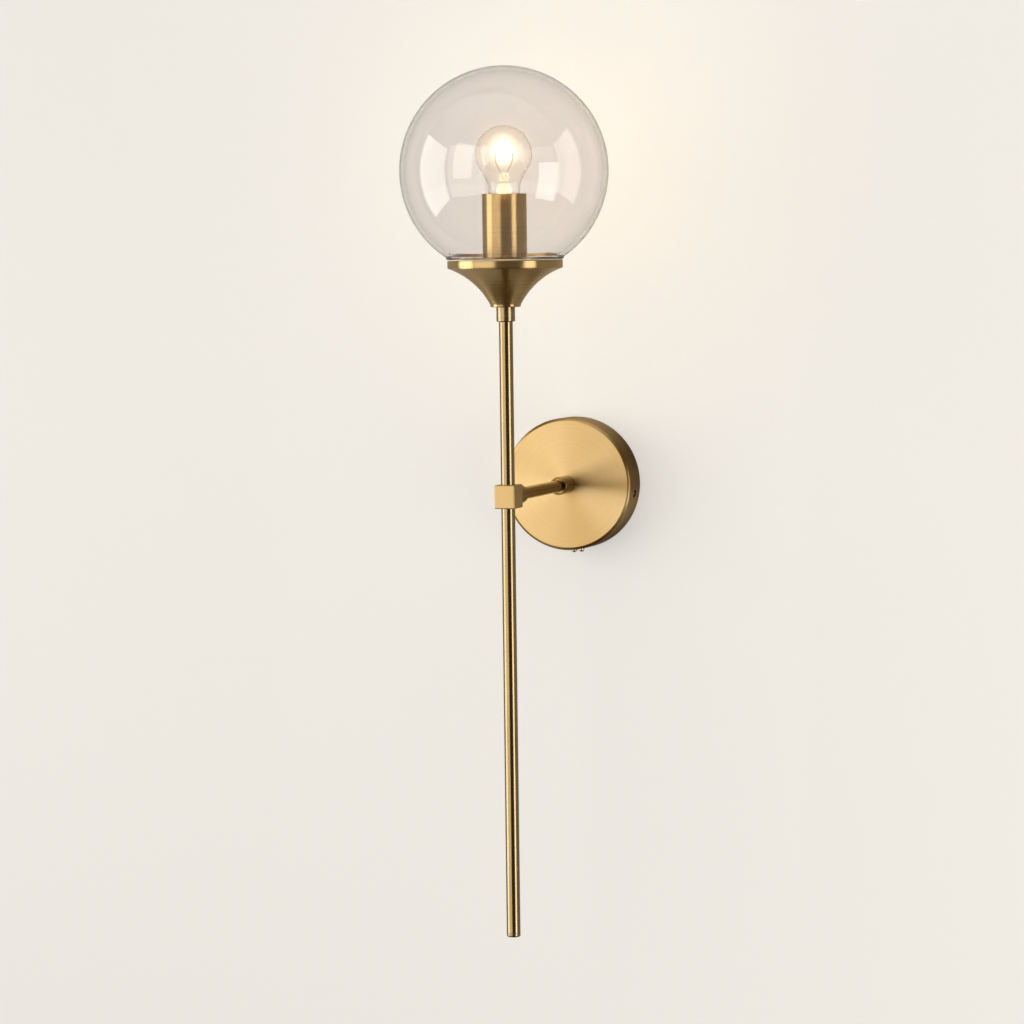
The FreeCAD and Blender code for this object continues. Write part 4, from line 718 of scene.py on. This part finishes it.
def makeBlock():
    low = (-block["halfWidth"], -armReach - block["front"], -block["halfHeight"])
    high = (block["halfWidth"], -armReach + block["back"], block["halfHeight"])
    square = applied(boxMesh(low, high), "BEVEL", {
        "width": block["round"] * mm, "segments": 4, "limit_method": "NONE"})
    bore, steps, rear = block["bore"], block["boreSteps"], armReach - block["back"]
    mesh = cutBy(square, [rod(bore, rods["seat"], block["boreEnd"], onLamp, steps),
                          rod(bore, -block["boreEnd"], -rods["seat"], onLamp, steps)])
    mesh = cutBy(mesh, [rod(bore, rear - 1, rear + block["rearDepth"], onArm, steps)])
    addPiece("rodBlock", mesh, "fixture", ["rod_block"], "satin_brass", groundBlock, 25)


# Heights are the distances from the wall.
arm = {"start": 25, "collar": 6.75, "hole": 5.05, "groove": 6.4, "grooveFrom": 42.8,
       "grooveTo": 43.4, "end": 46, "mouth": 5.7, "mouthFloor": 43.6, "seat": 4.55,
       "seatFloor": 38, "floor": 37, "tube": 4.5, "bore": 3.2, "tubeEnd": 140,
       "sleeve": 7, "sleeveLength": 14.8, "sleeveFloor": 141}


def makeArm():
    out, hole, seat, bore = arm["collar"], arm["hole"], arm["seat"], arm["bore"]
    collar = soften([
        (hole, arm["start"]), (out, arm["start"], 0.2), (out, arm["grooveFrom"], 0.12),
        (arm["groove"], arm["grooveFrom"]), (arm["groove"], arm["grooveTo"]),
        (out, arm["grooveTo"], 0.12), (out, arm["end"], 0.5), (arm["mouth"], arm["end"], 0.25),
        (arm["mouth"], arm["mouthFloor"], 0.2), (seat, arm["mouthFloor"]),
        (seat, arm["seatFloor"]), (bore, arm["seatFloor"]), (bore, arm["floor"]),
        (hole, arm["floor"])])
    addPiece("armCollar", lathe(collar, 96, onArm), "fixture", ["arm_collar"], "polished_brass",
             turnedArm)
    tube = soften([(bore, arm["seatFloor"]), (arm["tube"], arm["seatFloor"], 0.2),
                   (arm["tube"], arm["tubeEnd"], 0.2), (bore, arm["tubeEnd"])], 3)
    addPiece("armTube", lathe(tube, 72, onArm), "fixture", ["arm_tube"], "satin_brass", turnedArm)
    back = armReach - block["back"]
    start = back - arm["sleeveLength"]
    sleeve = soften([(seat, start), (arm["sleeve"], start, 0.55), (arm["sleeve"], back, 0.2),
                     (hole, back), (hole, arm["sleeveFloor"]), (bore, arm["sleeveFloor"]),
                     (bore, arm["tubeEnd"]), (seat, arm["tubeEnd"])])
    addPiece("blockSleeve", lathe(sleeve, 96, onArm), "fixture", ["block_sleeve"],
             "polished_brass", turnedArm)


makeCup()
makeRods()
makeBlock()
makeArm()
print("cup, rods and arm made")


def aboutArm(angle):  # right-hand end down for a positive angle
    return Matrix.Rotation(radians(angle), 4, "Y")


quarterX, quarterY = Matrix.Rotation(pi / 2, 4, "X"), Matrix.Rotation(pi / 2, 4, "Y")


def makeCanopy():
    radius, depth, hole, past = (canopy[name] for name in ("radius", "depth", "hole", "drillPast"))
    inside, floor = radius - canopy["sheet"], depth - canopy["sheet"]
    outline = soften([(inside, 0, 0.25), (radius, 0, 0.25), (radius, depth, canopy["edge"]),
                      (hole, depth), (hole, floor), (inside, floor, 1.0)], 10)
    shell = lathe(outline, 192, onArm)
    side = aboutArm(canopy["turn"]) @ Matrix.Translation((0, -canopy["sideDepth"] * mm, 0))
    cutters = [rod(canopy["sideHole"], -radius - past, radius + past, side @ quarterY, 40)]
    for way in (-1, 1):
        spot = Matrix.Translation((way * canopy["footPitch"] / 2 * mm,
                                   -canopy["footDepth"] * mm, 0))
        cutters.append(rod(canopy["footHole"], -radius - past, -radius + past,
                           aboutArm(-canopy["footTurn"]) @ spot, 28))
    addPiece("canopyDish", cutBy(shell, cutters), "fixture", ["canopy"], "brushed_brass", sharp=35)


screws = {"side": {"head": 2.2, "height": 2.2, "shank": 2.0, "length": 3.9, "crown": 1.7},
          "foot": {"head": 2.1, "height": 2.4, "shank": 1.25, "length": 4.8, "crown": 1.7},
          "slotReach": 0.45, "slotHalf": 0.09, "slotDepth": 0.5, "sideSunk": 2.25}


def screwMesh(look, place):  # a domed head that stands on z = 0, with a cross
    head, height, shank, crown = look["head"], look["height"], look["shank"], look["crown"]
    dome = (head ** 2 + crown ** 2) / (2 * crown)
    rise = arc((0, height - dome), dome, 90 - degrees(asin(head / dome)), 90, 8)
    rise[-1] = Vector((0, height))
    side = soften([(0, -look["length"]), (shank, -look["length"], 0.15), (shank, 0),
                   (head, 0, 0.1)])
    mesh = lathe(side + rise, 40, Matrix())
    reach, half = head * screws["slotReach"], head * screws["slotHalf"]
    low = height - screws["slotDepth"]
    for across, along in ((reach, half), (half, reach)):
        mesh = cutBy(mesh, [boxMesh((-across, -along, low), (across, along, height + 1))])
    return placed(mesh, place)


def makeCanopyScrews():
    # the first one lies along +X, so that the tree can turn the other one round
    seat = Matrix.Translation(((canopy["radius"] - screws["sideSunk"]) * mm, 0, 0))
    one = screwMesh(screws["side"], seat @ quarterY)
    pair = repeated(one, 2, finishes["polished_brass"], turn=pi)
    side = Matrix.Translation((0, -canopy["sideDepth"] * mm, 0))
    addPiece("canopySideScrews", placed(pair, aboutArm(canopy["turn"]) @ side @ quarterX),
             "fixture", ["canopy_side_screws"], "polished_brass", screwBrass)
    one = screwMesh(screws["foot"], Matrix.Rotation(pi, 4, "X"))
    pair = repeated(one, 2, finishes["polished_brass"], step=(canopy["footPitch"] * mm, 0, 0))
    foot = Matrix.Translation((-canopy["footPitch"] / 2 * mm, -canopy["footDepth"] * mm,
                               -canopy["radius"] * mm))
    addPiece("canopyFootScrews", placed(pair, aboutArm(-canopy["footTurn"]) @ foot),
             "fixture", ["canopy_foot_screws"], "polished_brass", screwBrass)


makeCanopy()
makeCanopyScrews()
print("canopy made")


holder = {"cover": 16, "bore": 15, "hole": 4.15, "floor": 171.2, "top": 217.6,
          "sleeve": 13.2, "sleeveBore": 11.6, "sleeveLow": 185.2, "sleeveTop": 209.5,
          "lip": 9.43, "lipFloor": 207.5}


def makeHolder():
    out, bore, top, floor = holder["cover"], holder["bore"], holder["top"], holder["floor"]
    cover = soften([(holder["hole"], seatTop), (out, seatTop, 0.5), (out, top, 0.35),
                    (bore, top, 0.25), (bore, floor), (holder["hole"], floor)])
    addPiece("holderCover", lathe(cover, 112), "fixture", ["holder_cover"], "satin_brass")
    out, bore, low, high = (holder[name] for name in
                            ("sleeve", "sleeveBore", "sleeveLow", "sleeveTop"))
    sleeve = soften([(bore, low), (out, low, 0.2), (out, high, 0.9), (holder["lip"], high, 0.4),
                     (holder["lip"], holder["lipFloor"]), (bore, holder["lipFloor"])])
    addPiece("holderSleeve", lathe(sleeve, 80), "fixture", ["holder_sleeve"], "white_plastic")


bulb = {"radius": 20.5, "top": 266.5, "wall": 0.8, "foot": 210.5, "waist": (8, 213.4),
        "neck": (11.6, 218.6, 224.5), "widest": 0.78, "clear": 4, "sideSteps": 44}
# "thread" and "arch" give coil radius, turns and wire radius.
cap = {"low": 192.4, "high": 208.9, "flangeTop": 211.9, "radius": 6.4, "inside": 6.0,
       "mouth": 5.6, "flange": 8.5, "flangeInside": 8.1, "cone": 1.5, "coneInside": 1.6,
       "sheet": 0.5, "thread": (6.28, 5.0, 0.66), "threadInset": 1.2,
       "discLow": 189.9, "discHigh": 194.4, "disc": 4, "discRim": 6.5, "discHole": 0.9}
filament = {"height": 247, "length": 19.0, "arch": (0.42, 34.0, 0.13)}


def bulbSide(shrink):  # one side of the bulb's wall, from the cap up to the top
    centre, clear = bulb["top"] - bulb["radius"], bulb["clear"]
    radius = bulb["radius"] - shrink
    joinRadius = bulb["radius"] * bulb["widest"] - shrink
    join = centre - sqrt(radius ** 2 - joinRadius ** 2)
    ball = arc((0, centre), radius, -degrees(acos(joinRadius / radius)), 90, bulb["sideSteps"])
    ball[-1] = Vector((0, centre + radius))
    waist, waistTop = bulb["waist"]
    neck, neckLow, neckTop = bulb["neck"]
    low = soften([(waist - shrink, bulb["foot"]), (waist - shrink, waistTop, 4),
                  (neck - shrink, neckLow, 5), (neck - shrink, neckTop, 12),
                  (joinRadius, join, 9), tuple(ball[clear])], 8)
    return low[:-1] + ball[clear:]


def makeBulb():
    outline = bulbSide(0) + list(reversed(bulbSide(bulb["wall"])))
    addPiece("bulbGlass", lathe(outline, 112), "bulb", ["bulb_glass"], "bulb_glass", sharp=60)
    low, high, top, sheet = cap["low"], cap["high"], cap["flangeTop"], cap["sheet"]
    shell = soften([(cap["mouth"], low, 0.2), (cap["radius"], low, 0.3),
                    (cap["radius"], high, 0.4), (cap["flange"], high + cap["cone"], 0.5),
                    (cap["flange"], top, 0.15), (cap["flangeInside"], top),
                    (cap["flangeInside"], high + cap["coneInside"]), (cap["inside"], high),
                    (cap["inside"], low + sheet), (cap["mouth"], low + sheet)])
    radius, turns, wire = cap["thread"]
    length = high - low - 2 * cap["threadInset"]
    thread = coiled(radius, length, turns, wire, 0.0, finishes["nickel_shell"])
    thread = placed(thread, Matrix.Translation((0, 0, (low + cap["threadInset"]) * mm)))
    addPiece("bulbCap", placed(joined([lathe(shell, 80, Matrix()), thread]), onLamp), "bulb",
             ["bulb_cap"], "nickel_shell", sharp=50)
    insulator = soften([(cap["discHole"], cap["discLow"]), (cap["disc"], cap["discLow"], 0.4),
                        (cap["discRim"], low, 0.3), (cap["inside"], low),
                        (cap["inside"], cap["discHigh"]), (cap["discHole"], cap["discHigh"])])
    addPiece("capInsulator", lathe(insulator, 64), "bulb", ["cap_insulator"], "black_glass")
    radius, turns, wire = filament["arch"]
    coil = coiled(radius, filament["length"], turns, wire, 1.0, finishes["lit_filament"])
    coil = placed(coil, Matrix.Translation((0, 0, filament["height"] * mm)))
    addPiece("filamentCoil", placed(coil, onLamp), "bulb", ["filament"], "lit_filament")


makeHolder()
makeBulb()
print("lamp holder and bulb made")


# The solids that are carried over get their finishes by slot, apart from these two.
ownFinish = {"bulb_stem": bulbStemGlass, "canopy_nipple": finishes["raw_brass"]}
for name, solid in frame["nodes"].items():
    finish = ownFinish.get(name, finishes[nodeSlots[name]])
    solid.data.materials.clear()
    solid.data.materials.append(finish)
print("solids finished")


# The wall is a mid grey to the lamps and pale to the camera, so that brass keeps its depth.
stage = {"reach": 6.0, "floor": -1.4, "opening": 0.046, "steps": 48, "gap": 0.0006,
         "wall": {"base": (0.44, 0.43, 0.405, 1), "baseLight": (0.45, 0.44, 0.415, 1),
                  "lift": (0.43, 0.425, 0.41, 1), "liftRight": (0.6, 0.59, 0.56, 1)},
         "ground": {"base": (0.1, 0.065, 0.03, 1), "baseLight": (0.11, 0.075, 0.04, 1),
                    "lift": (0.74, 0.72, 0.68, 1), "liftRight": (0.74, 0.72, 0.68, 1)},
         "liftSpan": 0.6, "cloud": 1.3}


def seenStraight(graph):  # 1 for a camera ray, also one that has only passed through glass
    crossed = graph.path("Transmission Depth")
    turned = graph.path("Ray Depth") - crossed
    direct = turned.maths("LESS_THAN", 0.5)
    # a ray turned back inside the globe's wall crosses 2 surfaces, in the bulb's wall 6
    once = turned.maths("COMPARE", 1.5, 0.75)
    inWall = crossed.maths("COMPARE", 2.0, 0.5) + crossed.maths("COMPARE", 6.0, 0.5)
    return direct + once * inWall


def seenThroughGlass(graph):  # 1 for a ray that comes to the sky through glass alone
    turned = graph.path("Ray Depth") - graph.path("Transmission Depth")
    return graph.path("Is Transmission Ray") * turned.maths("LESS_THAN", 1.5)


def paleSurface(name, look, seeThrough):
    material, graph = startMaterial(name)
    place = graph.place()
    cloud = graph.noise(place, stage["cloud"])
    # painted light: the wall's camera-only glow grows towards the right
    right = graph.mapped(graph.split(place)[0], -stage["liftSpan"], stage["liftSpan"])
    lift = graph.blend(right, look["lift"], look["liftRight"])
    shader = graph.node("ShaderNodeBsdfPrincipled", None, {
        "Base Color": graph.blend(cloud, look["base"], look["baseLight"]),
        "Roughness": 0.9, "Specular IOR Level": 0.1,
        "Emission Color": graph.blend(seenStraight(graph), (0, 0, 0, 1), lift),
        "Emission Strength": 1.0})
    if seeThrough:  # the wall is open to a view from behind it
        clear = graph.node("ShaderNodeBsdfTransparent")
        behind = graph.node("ShaderNodeNewGeometry", None, None, "Backfacing")
        shader = graph.node("ShaderNodeMixShader", None, {0: behind, 1: shader, 2: clear})
    graph.end("ShaderNodeOutputMaterial", shader)
    return material


def stagePlane(name, corners, faces, material):
    mesh = bpy.data.meshes.new(name)
    mesh.from_pydata(corners, [], faces)
    plane = bpy.data.objects.new(name, mesh)
    scene.collection.objects.link(plane)
    mesh.materials.append(material)


def makeStage():
    far, floor, steps = stage["reach"], stage["floor"], stage["steps"]
    # the wall is open behind the canopy, so that daylight reaches the wiring in a view from behind
    turns = [2 * pi * step / steps for step in range(steps)]
    rings = [(radius * cos(turn), stage["gap"], radius * sin(turn))
             for radius in (stage["opening"], far) for turn in turns]
    faces = [(step, step + steps, (step + 1) % steps + steps, (step + 1) % steps)
             for step in range(steps)]
    stagePlane("wall", rings, faces, paleSurface("paleWall", stage["wall"], True))
    stagePlane("floor", [(-far, -far, floor), (far, -far, floor), (far, far, floor),
                         (-far, far, floor)], [(0, 1, 2, 3)],
               paleSurface("paleFloor", stage["ground"], False))


panels = {
    "leftPanel": {"place": (-1.5, -0.9, 0.12), "aim": (0, -0.9, 0.12), "size": (1.2, 1.7),
                  "radiance": 3.0, "tint": (1.0, 0.985, 0.96)},
    "frontPanel": {"place": (-0.98, -2.45, 0.2), "aim": (0, -0.158, 0.1), "size": (2.0, 2.4),
                   "radiance": 1.45, "tint": (1.0, 0.975, 0.93)},
    "rightPanel": {"place": (2.6, -1.1, -0.35), "aim": (0, -0.158, 0.0), "size": (1.2, 1.9),
                   "radiance": 3.0, "tint": (1.0, 0.98, 0.95)},
}

# The lit coil's bloom is a nest of round lamps, which together fade outwards.
glow = {"height": 0.249, "tint": (1.0, 0.67, 0.27), "power": 0.31, "radius": 0.006,
        "bloom": 7.0, "bloomWidth": 0.0085, "bloomFall": 1.6, "bloomReach": 0.026,
        "bloomSteps": 14, "inner": (1.0, 0.93, 0.74), "outer": (1.0, 0.74, 0.36)}


def addLamp(name, kind, power, tint):
    light = bpy.data.lights.new(name, kind)
    light.energy = power
    light.color = tint
    lamp = bpy.data.objects.new(name, light)
    scene.collection.objects.link(lamp)
    return lamp


def addPanel(name, look):
    width, height = look["size"]
    lamp = addLamp(name, "AREA", look["radiance"] * pi * width * height, look["tint"])
    lamp.data.shape = "RECTANGLE"
    lamp.data.size, lamp.data.size_y = width, height
    place = Vector(look["place"])
    aim = (Vector(look["aim"]) - place).to_track_quat("-Z", "Y")
    lamp.matrix_world = Matrix.Translation(place) @ aim.to_matrix().to_4x4()
    lamp.visible_camera = False


def addGlow(name, power, radius, tint):
    lamp = addLamp(name, "POINT", power, tint)
    lamp.data.shadow_soft_size = radius
    lamp.location = (0, -armReach * mm, glow["height"])
    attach(lamp, "bulb")
    return lamp


def makeLights():
    for name, look in panels.items():
        addPanel(name, look)
    main = addGlow("bulbGlow", glow["power"], glow["radius"], glow["tint"])
    main.visible_camera = False
    main.visible_glossy = False  # the halo lamps are the ones that brass and glass reflect
    steps, reach = glow["bloomSteps"], glow["bloomReach"]
    level = [glow["bloom"] * exp(-(reach * step / steps / glow["bloomWidth"]) ** glow["bloomFall"])
             for step in range(steps + 2)]
    for step in range(1, steps + 1):
        radius = reach * step / steps
        power = (level[step] - level[step + 1]) * 4 * (pi * radius) ** 2
        tint = Vector(glow["inner"]).lerp(Vector(glow["outer"]), step / steps)
        addGlow(f"bulbBloom{step}", power, radius, tint)


sky = {"level": (0.08, 0.05, 0.022, 1), "overhead": (0.95, 0.93, 0.89, 1), "fall": 1.5,
       "backdrop": (0.88, 0.86, 0.82, 1)}


def makeWorld():  # a dim room under a pale ceiling, with a pale backdrop for the camera
    world = bpy.data.worlds.new("studio")
    world.use_nodes = True
    world.node_tree.nodes.clear()
    graph = Graph(world.node_tree)
    seen = graph.path("Is Camera Ray").maths("MAXIMUM", seenThroughGlass(graph))
    height = graph.split(graph.node("ShaderNodeTexCoord", None, None, "Generated"))[2]
    above = height.maths("MAXIMUM", 0.0) ** sky["fall"]
    room = graph.blend(above, sky["level"], sky["overhead"])
    graph.end("ShaderNodeOutputWorld", graph.node("ShaderNodeBackground", None, {
        "Color": graph.blend(seen, room, sky["backdrop"]), "Strength": 1.0}))
    scene.world = world


viewPoint = {"place": (0.91509, -2.74095, 0.18860), "yaw": 0.3395, "pitch": 0.0728,
             "roll": -0.0128, "lens": 133.94, "sensor": 36, "near": 0.05, "far": 50}


def makeCamera():
    yaw, pitch, roll = (viewPoint[name] for name in ("yaw", "pitch", "roll"))
    ahead = Vector((-sin(yaw) * cos(pitch), cos(yaw) * cos(pitch), -sin(pitch)))
    right = Vector((cos(yaw), sin(yaw), 0))
    up = right.cross(ahead)
    across = right * cos(roll) + up * sin(roll)
    upward = up * cos(roll) - right * sin(roll)
    turn = Matrix((across, upward, -ahead)).transposed().to_4x4()
    data = bpy.data.cameras.new("camera")
    data.lens = viewPoint["lens"]
    data.sensor_width = viewPoint["sensor"]
    data.sensor_fit = "HORIZONTAL"
    data.clip_start, data.clip_end = viewPoint["near"], viewPoint["far"]
    camera = bpy.data.objects.new("camera", data)
    camera.matrix_world = Matrix.Translation(viewPoint["place"]) @ turn
    scene.collection.objects.link(camera)
    scene.camera = camera


makeStage()
makeLights()
makeWorld()
makeCamera()
scene.view_settings.view_transform = "Standard"
print("stage, lights and camera made")
